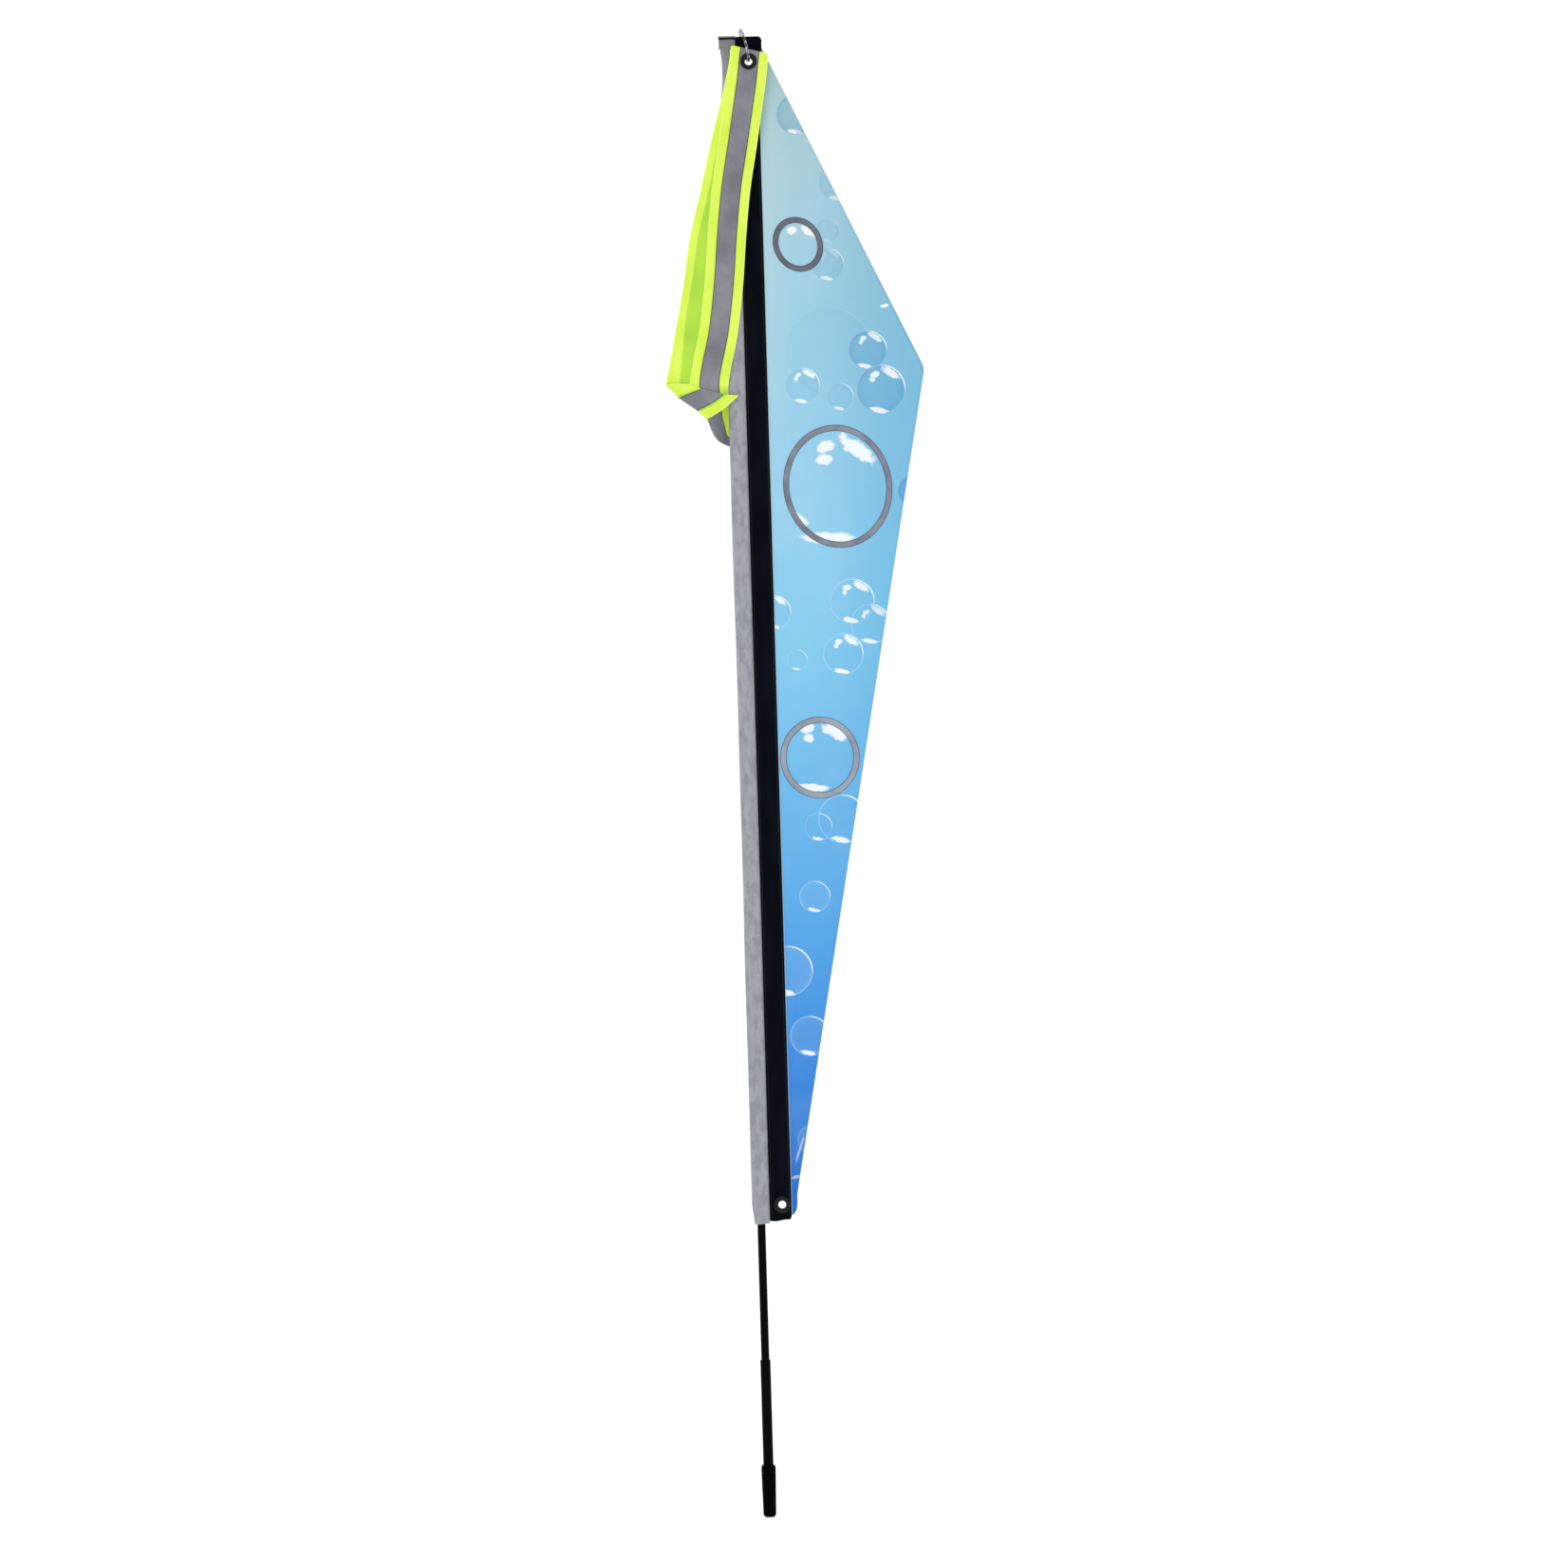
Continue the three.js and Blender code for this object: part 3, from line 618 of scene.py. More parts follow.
PRINT = print_material()
SLEEVE_CLOTH = sleeve_material()
HEADER_CLOTH = black_cloth_material("header_cloth", 0.0006)
WEBBING = black_cloth_material("webbing_cloth", 0.0014)
STRIPE_FILM = film_material("stripe_film", (108, 111, 117), (132, 135, 143), 0.11)
# The three circles are one reflective film in three tones: painted shade darkens the upper circle, painted
# light brightens the lower one.
UPPER_CIRCLE_FILM = film_material("upper_circle_film", (78, 84, 96), (104, 112, 124), 0.26)
MIDDLE_CIRCLE_FILM = film_material("middle_circle_film", (104, 110, 126), (138, 146, 164), 0.24)
LOWER_CIRCLE_FILM = film_material("lower_circle_film", (132, 142, 158), (160, 170, 186), 0.22)
NEON = neon_material()
GREY_THREAD = thread_material("grey_thread", (126, 129, 138), (178, 181, 188))
BLACK_THREAD = thread_material("black_thread", (14, 17, 24), (36, 40, 50))
NEON_THREAD = thread_material("neon_thread", (196, 224, 60), (232, 250, 120))
CAP_PLASTIC = plastic_material("cap_plastic", (2, 2, 3), (16, 16, 18), 0.55)
PLUG_PLASTIC = plastic_material("plug_plastic", (12, 12, 13), (40, 40, 42), 0.5)
ROD = plastic_material("rod_fibreglass", (196, 188, 150), (216, 210, 180), 0.45)
TUBE = tube_material()
ENAMEL = enamel_material()
STEEL = steel_material()


# ---------------------------------------------------------------- meshes


def make_piece(name, points, faces, material, body, nodes=(), smooth_angle=40):
    """A mesh piece from points in millimetres, riding on a body and standing for CAD nodes."""
    mesh = bpy.data.meshes.new(name)
    mesh.from_pydata([Vector(p) * MM for p in points], [], faces)
    mesh.validate()
    piece = bpy.data.objects.new(name, mesh)
    bpy.context.scene.collection.objects.link(piece)
    mesh.materials.append(material)
    mesh.shade_smooth()
    mesh.set_sharp_from_angle(angle=math.radians(smooth_angle))
    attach(piece, body)
    if nodes:
        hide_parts(*nodes)
    return piece


def grid_faces(rows, columns, wrap=False):
    """Quads of a grid whose points run along each row in turn; `wrap` joins the last column to the first."""
    faces = []
    for r in range(rows - 1):
        for c in range(columns if wrap else columns - 1):
            near, far = r * columns, (r + 1) * columns
            beside = (c + 1) % columns
            faces.append((near + c, near + beside, far + beside, far + c))
    return faces


def grid_points(rows, columns, rule):
    """Points of a grid from a rule of two shares, the row's and the column's."""
    return [rule(r / (rows - 1), c / (columns - 1)) for r in range(rows) for c in range(columns)]


def thicken(piece, thickness, offset=0.0):
    """Gives a cloth surface its thickness, in millimetres."""
    modifier = piece.modifiers.new("thickness", "SOLIDIFY")
    modifier.thickness = thickness * MM
    modifier.offset = offset
    return piece


def cloth(name, rows, columns, place, material, body, nodes, thickness):
    """A sheet of cloth from a rule of two shares, with its thickness."""
    points = grid_points(rows, columns, place)
    piece = make_piece(name, points, grid_faces(rows, columns), material, body, nodes, 60)
    return thicken(piece, thickness)


def mark(piece, name, values):
    """Stores a number at each point of a piece, for its material to read."""
    layer = piece.data.attributes.new(name, "FLOAT", "POINT")
    layer.data.foreach_set("value", values)


def applied(piece):
    """Turns a piece's modifiers into its mesh."""
    shown = piece.evaluated_get(bpy.context.evaluated_depsgraph_get())
    mesh = bpy.data.meshes.new_from_object(shown)
    piece.modifiers.clear()
    piece.data = mesh
    return piece


def lathe(name, profile, place, axis, material, body, nodes, sides=96, bevel=0.25):
    """A turned piece: profile of (radius, height) points, closed on itself or on its axis."""
    turn = Vector((0, 0, 1)).rotation_difference(Vector(axis)).to_matrix()
    ring = profile[:-1] if profile[0] == profile[-1] else profile
    closed = profile[0] == profile[-1]
    points, starts = [], []
    for radius, height in ring:
        starts.append((len(points), radius > 1e-6))
        for i in range(sides if radius > 1e-6 else 1):
            a = 2 * math.pi * i / sides
            points.append(turn @ Vector((radius * math.cos(a), radius * math.sin(a), height)) + Vector(place))
    faces = []
    pairs = list(zip(starts, starts[1:])) + ([(starts[-1], starts[0])] if closed else [])
    for (low, low_round), (high, high_round) in pairs:
        for i in range(sides):
            j = (i + 1) % sides
            if low_round and high_round:
                faces.append((low + i, low + j, high + j, high + i))
            elif high_round:
                faces.append((low, high + j, high + i))
            elif low_round:
                faces.append((low + i, low + j, high))
    piece = make_piece(name, points, faces, material, body, nodes, 30)
    outward(piece)
    if bevel:
        modifier = piece.modifiers.new("edges", "BEVEL")
        modifier.width = bevel * MM
        modifier.segments = 3
        modifier.limit_method = "ANGLE"
        modifier.angle_limit = math.radians(28)
        modifier.harden_normals = False
    return piece


def outward(piece):
    """Makes every face of a closed piece point outwards."""
    work = bmesh.new()
    work.from_mesh(piece.data)
    bmesh.ops.recalc_face_normals(work, faces=work.faces)
    work.to_mesh(piece.data)
    work.free()


# ---------------------------------------------------------------- stitches


def stitch_row(name, spots, material, body, pitch=3.2, gauge=0.2):
    """A row of separate stitches along a path of points, each a short thread that dips at both ends."""
    points, faces = [], []
    sides, bends = 6, (-0.5, -0.36, 0.0, 0.36, 0.5)
    lifts = (-0.5, 0.35, 0.7, 0.35, -0.5)
    walked = [0.0]
    for a, b in zip(spots, spots[1:]):
        walked.append(walked[-1] + (Vector(b) - Vector(a)).length)
    count = int(walked[-1] / pitch)
    up = Vector((0, -1, 0))
    segment = 0
    for n in range(count):
        centre_at = (n + 0.5) * pitch
        while segment < len(walked) - 2 and walked[segment + 1] < centre_at:
            segment += 1
        a, b = Vector(spots[segment]), Vector(spots[segment + 1])
        share = (centre_at - walked[segment]) / max(walked[segment + 1] - walked[segment], 1e-6)
        centre = a.lerp(b, share)
        along = (b - a).normalized()
        across = along.cross(up).normalized()
        start = len(points)
        for bend, lift in zip(bends, lifts):
            middle_of_ring = centre + along * bend * pitch * 0.8 + up * lift * gauge
            for k in range(sides):
                turn = 2 * math.pi * k / sides
                points.append(middle_of_ring + (across * math.cos(turn) + up * math.sin(turn)) * gauge * 0.8)
        rings = len(bends)
        for face in grid_faces(rings, sides, wrap=True):
            faces.append(tuple(start + i for i in face))
        faces.append(tuple(start + k for k in range(sides)))
        faces.append(tuple(start + (rings - 1) * sides + k for k in reversed(range(sides))))
    row = make_piece(name, points, faces, material, body, (), 80)
    outward(row)
    return row


# ---------------------------------------------------------------- pole


def build_pole():
    """The grooved cap, the base tube and the two pole sections; the hidden plugs only get their materials."""
    cap_high = box_mm("base_cap")[1]
    tube_high = box_mm("base_tube")[1]
    lower_low, lower_high = box_mm("lower_pole_tube")
    upper_low, upper_high = box_mm("upper_pole_tube")
    cap_radius = cap_high.x
    tube_radius = tube_high.x
    pole_radius = lower_high.x
    wall = 1.0
    chamfer = 2.4
    foot = cap_radius - 1
    socket = 6.0
    fit = 0.1
    groove_depth = 0.25
    groove_floor = cap_radius - 0.06 - groove_depth
    cap = [
        (0, 0),
        (foot - chamfer, 0),
        (foot, chamfer),
        (cap_radius - 0.07, cap_high.z - 11),
        (groove_floor, cap_high.z - 10.4),
        (groove_floor, cap_high.z - 9.6),
        (cap_radius - 0.06, cap_high.z - 9),
        (cap_radius, cap_high.z - chamfer),
        (cap_radius - chamfer / 2, cap_high.z),
        (tube_radius + fit, cap_high.z),
        (tube_radius + fit, cap_high.z - socket),
        (0, cap_high.z - socket),
    ]
    up = (0, 0, 1)
    lathe("base_cap_body", cap, (0, 0, 0), up, CAP_PLASTIC, "base", ["base_cap"], bevel=0.5)

    def hollow(name, radius, low, high, body, node):
        inner = radius - wall
        profile = [(inner, low), (radius, low), (radius, high), (inner, high), (inner, low)]
        lathe(name, profile, (0, 0, 0), up, TUBE, body, [node], bevel=0.2)

    hollow("base_tube_body", tube_radius, cap_high.z - socket + fit, tube_high.z, "base", "base_tube")
    hollow("lower_pole_body", pole_radius, lower_low.z, lower_high.z, "lower_pole", "lower_pole_tube")
    hollow("upper_pole_body", pole_radius, upper_low.z, upper_high.z, "upper_pole", "upper_pole_tube")
    for node, material in (
        ("base_stop", PLUG_PLASTIC),
        ("lower_end_plug", PLUG_PLASTIC),
        ("upper_end_plug", PLUG_PLASTIC),
        ("joint_spigot", ROD),
    ):
        mesh = frame["nodes"][node].data
        mesh.materials.clear()
        mesh.materials.append(material)


# ---------------------------------------------------------------- sleeve


LOOSE_HALF = 6.0  # half the sleeve's depth round the pole
TIP_BULGE = 0.9  # how much deeper it is from where its neck starts
FLAT_HALF = 1.3  # half its depth where it is sewn shut
NECK_FROM = 1745
FLATTENS_FROM = 1796
HEM_HEIGHT = 26
HEM_DRAWN_IN = 2.6


def sleeve_section(z, share):
    """A point of the sleeve's loop at a height: share runs from the seam, over the front, to the back."""
    left = SLEEVE_EDGES(z)[0] + HEM_DRAWN_IN * smooth((SLEEVE_LOW.z + HEM_HEIGHT - z) / HEM_HEIGHT)
    right = HEADER_LEFT - 0.25
    top = smooth((z - FLATTENS_FROM) / (SLEEVE_HIGH.z - FLATTENS_FROM))
    half = lerp(LOOSE_HALF + TIP_BULGE * smooth((z - NECK_FROM) / 30), FLAT_HALF, top)
    turn = 2 * math.pi * share
    lean = math.cos(turn)
    x = (left + right) / 2 + (right - left) / 2 * lean
    flat = abs(math.sin(turn)) ** 0.8
    y = -math.copysign(flat, math.sin(turn)) * half
    ripple = 0.22 * math.sin(z / 23 + 3 * math.sin(z / 71)) + 0.12 * math.sin(z / 7.5 + x / 3)
    ripple *= flat * (1 - 0.7 * top)
    sway = 0.35 * math.sin(z / 118) + 0.18 * math.sin(z / 41 + 1)
    seam_width = 3.5
    pinch = 0.25 * smooth((x - right + seam_width) / seam_width)
    x += sway * (1 - lean) / 2
    y += math.copysign(ripple, y) - math.copysign(pinch, y) * min(1, abs(y))
    return Vector((x, y, z))


def build_sleeve():
    """Front and back of the sleeve as one loop of cloth; the front ends a little lower at the top."""
    rows, around = 300, 40
    bottom, top = SLEEVE_LOW.z, SLEEVE_HIGH.z

    def place(row, share):
        front = max(0.0, math.sin(2 * math.pi * share))
        end = top - 4.5 * smooth(front * 4)
        from_seam = abs((share + 0.5) % 1 - 0.5)
        start = bottom + 0.8 * (1 - smooth(4 * from_seam - 0.3))
        return sleeve_section(lerp(start, end, row), share)

    points = [place(r / (rows - 1), c / around) for r in range(rows) for c in range(around)]
    faces = grid_faces(rows, around, wrap=True)
    sleeve = make_piece(
        "sleeve_cloth_loop", points, faces, SLEEVE_CLOTH, "flag", ["pole_sleeve"], 60
    )
    # These mark the sleeve's folded sides, where its material paints shade.
    edges = [abs(math.cos(2 * math.pi * c / around)) for c in range(around)]
    mark(sleeve, "edge", edges * rows)
    thicken(sleeve, 0.45, -1)
    section = [sleeve_section((bottom + top) / 2, share / around) for share in range(around + 1)]

    hem = bottom + 8
    spots = [sleeve_section(hem, share / 60) + Vector((0, -0.05, 0)) for share in range(2, 29)]
    stitch_row("sleeve_hem_stitches", spots, GREY_THREAD, "flag", pitch=2.6)
    seam = []
    for i in range(290):
        z = lerp(bottom + 3, top - 8, i / 289)
        seam.append(sleeve_section(z, 0.085) + Vector((0, -0.08, 0)))
    stitch_row("sleeve_seam_stitches", seam, GREY_THREAD, "flag")
    closing = [sleeve_section(top - 14, share / 60) + Vector((0, -0.12, 0)) for share in range(3, 28)]
    stitch_row("sleeve_closing_stitches", closing, GREY_THREAD, "flag", pitch=2.6)


# ---------------------------------------------------------------- header and webbing


def disc_cutter(x, z, radius):
    """A round bar along Y that cuts a grommet's hole."""
    profile_sides = 48
    points = []
    reach = 30
    for y in (-reach, reach):
        for i in range(profile_sides):
            a = 2 * math.pi * i / profile_sides
            points.append(Vector((x + radius * math.cos(a), y, z + radius * math.sin(a))) * MM)
    faces = grid_faces(2, profile_sides, wrap=True)
    faces.append(tuple(reversed(range(profile_sides))))
    faces.append(tuple(profile_sides + i for i in range(profile_sides)))
    mesh = bpy.data.meshes.new("cutter")
    mesh.from_pydata(points, [], faces)
    cutter = bpy.data.objects.new("cutter", mesh)
    bpy.context.scene.collection.objects.link(cutter)
    outward(cutter)
    return cutter


def punch(piece, holes):
    """Cuts grommet holes, given as (x, z, radius), through a thickened piece."""
    applied(piece)
    cutters = []
    for x, z, radius in holes:
        cutter = disc_cutter(x, z, radius)
        cutters.append(cutter)
        modifier = piece.modifiers.new("hole", "BOOLEAN")
        modifier.operation = "DIFFERENCE"
        modifier.solver = "EXACT"
        modifier.object = cutter
    applied(piece)
    for cutter in cutters:
        bpy.data.objects.remove(cutter)
    piece.data.set_sharp_from_angle(angle=math.radians(50))
    return piece


CORNER_RADIUS = 5
SEAM_INSET = 2.6
STITCH_PITCH = 3.2
HOLE_RADIUS = 5.7  # what the cloth is punched to, round a grommet's barrel


def header_bottom(x):
    """The header's lower hem, which dips and rises gently and rounds up at the free corner."""
    share = (x - HEADER_LEFT) / (HEADER_RIGHT - HEADER_LEFT)
    rounded = corner_cut(x - (HEADER_RIGHT - CORNER_RADIUS), CORNER_RADIUS)
    return HEADER_LOW.z + 0.8 - 0.9 * math.sin(2 * math.pi * share) + rounded


def header_depth(x, z, face):
    """The leaf's depth: drawn in along the two seams, with faint puckers between the stitches."""
    edge = min(x - HEADER_LEFT, HEADER_RIGHT - x)
    seam = math.exp(-((edge - SEAM_INSET) ** 2) / 1.6)
    pucker = 0.05 * math.sin(z / STITCH_PITCH * math.pi) * seam
    crease = 0.12 * math.sin(z / 37 + x / 9) + 0.07 * math.sin(z / 13 - x / 5)
    return face * (0.95 - 0.18 * seam + pucker + crease * smooth(edge / 6))


def build_header():
    """The black strip's front and back leaves, punched for the grommets, and their two rows of stitches."""
    rows, columns = 420, 26
    holes = [(GROMMET.x, GROMMET.z, HOLE_RADIUS), (LOWER_GROMMET.x, LOWER_GROMMET.z, HOLE_RADIUS)]
    for side, face in (("front", -1), ("back", 1)):

        def place(row, column):
            x = lerp(HEADER_LEFT, HEADER_RIGHT, column)
            z = lerp(header_bottom(x), HEADER_HIGH.z, row)
            return Vector((x, header_depth(x, z, face), z))

        name, node = f"header_{side}_leaf", f"header_{side}"
        leaf = cloth(name, rows, columns, place, HEADER_CLOTH, "flag", [node], 0.5)
        punch(leaf, holes)
    for side, x in (("left", HEADER_LEFT + SEAM_INSET), ("right", HEADER_RIGHT - SEAM_INSET)):
        spots = []
        for i in range(400):
            z = lerp(HEADER_LOW.z + 4, HEADER_HIGH.z - 20, i / 399)
            spots.append(Vector((x, header_depth(x, z, -1) - 0.28, z)))
        stitch_row(f"header_{side}_stitches", spots, BLACK_THREAD, "flag")


def build_webbing():
    """Webbing folded over the header's top edge, with a rounded free corner, and its end in the sleeve."""
    low, high = box_mm("top_webbing")
    around, columns = 25, 26
    edge = 0.4
    radius = high.y - edge

    def loop(share, x):
        """Front bottom, up, over the top edge and down the back."""
        top = high.z - edge - corner_cut(x - (high.x - CORNER_RADIUS), CORNER_RADIUS)
        straight = top - radius - low.z
        path = share * (2 * straight + math.pi * radius)
        if path < straight:
            return -radius, low.z + path
        if path > straight + math.pi * radius:
            return radius, low.z + (2 * straight + math.pi * radius - path)
        a = (path - straight) / radius
        return -radius * math.cos(a), low.z + straight + radius * math.sin(a)

    def place(row, column):
        x = lerp(low.x, high.x, column)
        y, z = loop(row, x)
        return Vector((x, y + 0.08 * math.sin(x / 2.3 + z / 5), z))

    webbing = cloth(
        "top_webbing_fold", around, columns, place, WEBBING, "flag", ["top_webbing"], 0.7
    )

    tongue_right = low.x + 3
    tongue_bottom, tongue_top = SLEEVE_HIGH.z - 16, SLEEVE_HIGH.z - 2.2

    def tongue(row, column):
        x = lerp(SLEEVE_LOW.x + 0.7, tongue_right, column)
        z = lerp(tongue_bottom, tongue_top, row)
        return Vector((x, -0.25 - 0.35 * row + 0.05 * math.sin(x), z))

    inner = cloth("sleeve_top_tongue", 8, 12, tongue, WEBBING, "flag", (), 0.8)


# ---------------------------------------------------------------- panel and its reflective circles


def panel_depth(x, z):
    """Soft folds that fall from the top and fade towards the header and the lower tip."""
    out = smooth((x - HEADER_RIGHT) / 26)
    top = 0.35 + 0.65 * smooth((z - 1250) / 400)
    fall = 2.0 * math.sin((x - 38) / 17 + 0.7 * math.sin(z / 260)) * top
    breathing = 1.3 * math.sin(z / 170 + x / 55) + 0.5 * math.sin(z / 61 - x / 33)
    return out * (fall + breathing)


def build_panel():
    """The printed panel: a grid from the header to the kite's outline, with its soft folds."""
    rows, columns = 300, 44
    edges = slice_edges("flag_panel")
    left = PANEL_LOW.x + 0.5

    def place(row, column):
        z = lerp(PANEL_LOW.z, PANEL_HIGH.z, row)
        x = lerp(left, edges(z)[1], column)
        return Vector((x, panel_depth(x, z), z))

    panel = cloth("panel_cloth", rows, columns, place, PRINT, "flag", ["flag_panel"], 0.35)
    slices = 200
    height = PANEL_HIGH.z - PANEL_LOW.z
    middles = [PANEL_LOW.z + height * (i + 0.5) / slices for i in range(slices)]
    mean_width = sum(edges(z)[1] - left for z in middles) / slices


def build_circle(which, film, squeeze, tilt):
    """A reflective circle heat-pressed on the panel, following its folds.

    The cloth's pull makes it an oval: `squeeze` is the share lost along a line leaning by `tilt` degrees.
    """
    node = f"reflective_circle_{which}"
    low, high = box_mm(node)
    centre = middle(node)
    half_wide, half_high = (high.x - low.x) / 2, (high.z - low.z) / 2
    band = 7.6
    around, across = 160, 9
    lean = math.radians(tilt)
    points = []
    borders = []
    for i in range(around):
        a = 2 * math.pi * i / around
        for k in range(across):
            inward = band * k / (across - 1)
            x = (half_wide - inward) * math.cos(a)
            z = (half_high - inward) * math.sin(a)
            along = x * math.cos(lean) + z * math.sin(lean)
            place_x = centre.x + x - squeeze * along * math.cos(lean)
            place_z = centre.z + z - squeeze * along * math.sin(lean)
            points.append(Vector((place_x, panel_depth(place_x, place_z) - 0.42, place_z)))
            borders.append(abs(2 * k / (across - 1) - 1))
    faces = grid_faces(around, across)
    last = (around - 1) * across
    faces += [(last + k, last + k + 1, k + 1, k) for k in range(across - 1)]
    circle = make_piece(f"circle_{which}_film", points, faces, film, "flag", [node], 60)
    mark(circle, "aside", borders)
    thicken(circle, 0.22)


# ---------------------------------------------------------------- grommets and split ring


def build_grommet(name):
    """A rolled eyelet: domed front flange, barrel and the lip curled over its back washer."""
    node, washer = f"{name}_grommet", f"{name}_washer"
    low, high = box_mm(node)
    washer_low, washer_high = box_mm(washer)
    centre = middle(node)
    flange = (high.x - low.x) / 2
    bore, barrel, lip = 4.8, 5.5, 7.2
    back = high.y - low.y
    dome_height, flange_back = 0.55, 0.8
    curl_height, curl_under = 0.5, 0.9
    dome = []
    for i in range(9):
        a = math.pi * i / 8
        dome.append((lerp(flange, bore, (1 - math.cos(a)) / 2), dome_height * (1 - math.sin(a))))
    curl = []
    for i in range(7):
        a = math.pi * i / 6
        curl.append((lerp(bore, lip, (1 - math.cos(a)) / 2), back - curl_height * (1 - math.sin(a))))
    profile = [(flange, flange_back)] + dome + curl + [(lip, back - curl_under), (barrel, back - curl_under)]
    profile += [(barrel, flange_back), (flange, flange_back)]
    body = frame["nodes"][node]["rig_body"]
    place = (centre.x, low.y, centre.z)
    lathe(name + "_eyelet", profile, place, (0, 1, 0), ENAMEL, body, [node], bevel=0)
    thick = washer_high.y - washer_low.y
    inner = barrel + 0.3
    ring = [(inner, 0), (flange, 0), (flange, thick), (inner, thick), (inner, 0)]
    place = (centre.x, washer_low.y, centre.z)
    lathe(name + "_backing", ring, place, (0, 1, 0), ENAMEL, body, [washer], bevel=0.2)


def build_ring():
    """The split ring: two coils of flattened wire with one crossing, leaning as the CAD ring does."""
    hinge = next(j for j in frame["joints"] if j["name"] == "ring_swing")["pos_m"]
    hole = Vector(hinge) / MM
    radius, lift, stack_middle = 19.9, 0.8, -4.0
    lean, yaw = math.radians(-13.3), math.radians(6)
    turn = Matrix.Rotation(lean, 3, "Y") @ Matrix.Rotation(yaw, 3, "Z")
    radial, axial, offset = 1.1, 0.7, 0.8
    steps, sides = 260, 14
    squareness = 0.6
    whole = math.radians(680)
    crossing_from, crossing_to = math.radians(320), math.radians(360)
    centre = Vector((0, 0, radius + lift))
    at_hole = Vector((hole.x, stack_middle, hole.z))
    points = []
    for i in range(steps):
        a = whole * i / (steps - 1)
        side = lerp(-offset, offset, smooth((a - crossing_from) / (crossing_to - crossing_from)))
        out = Vector((0, math.cos(a), math.sin(a)))
        for k in range(sides):
            b = 2 * math.pi * k / sides
            rise = abs(math.cos(b)) ** squareness * math.copysign(radial, math.cos(b))
            flank = abs(math.sin(b)) ** squareness * math.copysign(axial, math.sin(b))
            local = out * (radius + rise) + Vector((side + flank, 0, 0)) + centre
            points.append(turn @ local + at_hole)
    faces = grid_faces(steps, sides, wrap=True)
    faces.append(tuple(range(sides)))
    faces.append(tuple((steps - 1) * sides + k for k in reversed(range(sides))))
    ring = make_piece("split_ring_wire", points, faces, STEEL, "ring", ["split_ring"], 50)
    outward(ring)


# ---------------------------------------------------------------- tail


TAPE_HALF = 23.75
STRIPE_HALF = 12.2
# The two strands' middle lines, as offsets in x and z from the tail's grommet.
FRONT_LINE = [
    (3.3, 21), (0, 0), (-3.9, -29), (-15.9, -99), (-26.1, -157), (-33.1, -216), (-38.5, -274),
    (-46.7, -333), (-56.2, -374), (-60.2, -399), (-57.6, -423), (-52.8, -444), (-46.9, -461),
    (-36.0, -469.5), (-24.0, -474),
]
BACK_LINE = [
    (1.4, 17), (0, 0), (-7.9, -35), (-26.2, -104), (-40.8, -163), (-55.4, -220), (-65.2, -279),
    (-77.8, -337), (-90.2, -391), (-97, -421),
]


class Line:
    """A smooth line through points in x and z, walked by its length."""

    def __init__(self, offsets):
        spots = [Vector((GROMMET.x + x, GROMMET.z + z)) for x, z in offsets]
        ends = [2 * spots[0] - spots[1]] + spots + [2 * spots[-1] - spots[-2]]
        self.points = []
        for i in range(1, len(ends) - 2):
            for k in range(12):
                self.points.append(self.between(ends[i - 1 : i + 3], k / 12))
        self.points.append(ends[-2])
        self.walked = [0.0]
        for a, b in zip(self.points, self.points[1:]):
            self.walked.append(self.walked[-1] + (b - a).length)
        self.length = self.walked[-1]

    @staticmethod
    def between(four, t):
        a, b, c, d = four
        straight = 2 * b + (c - a) * t
        bend = (2 * a - 5 * b + 4 * c - d) * t**2
        return 0.5 * (straight + bend + (3 * b - a - 3 * c + d) * t**3)

    def at(self, distance):
        """The point at a distance along the line, and the heading there."""
        d = min(max(distance, 0.0), self.length - 1e-6)
        i = next(k for k in range(len(self.walked) - 1) if self.walked[k + 1] > d)
        share = (d - self.walked[i]) / (self.walked[i + 1] - self.walked[i])
        ahead = self.points[min(i + 2, len(self.points) - 1)] - self.points[max(i - 1, 0)]
        return self.points[i].lerp(self.points[i + 1], share), ahead.normalized()

    def beside(self, distance, aside):
        point, heading = self.at(distance)
        return Vector((point.x - heading.y * aside, point.y + heading.x * aside))


def top_trim(aside):
    """How far down its line a thread of the front tape starts: the cut end slants and its corner is round."""
    slant = 4.0 + 4.7 * (aside + TAPE_HALF) / (2 * TAPE_HALF)
    rounding = 1.0 if aside > 0 else 0.25
    return slant + rounding * corner_cut(abs(aside) - (TAPE_HALF - CORNER_RADIUS), CORNER_RADIUS)


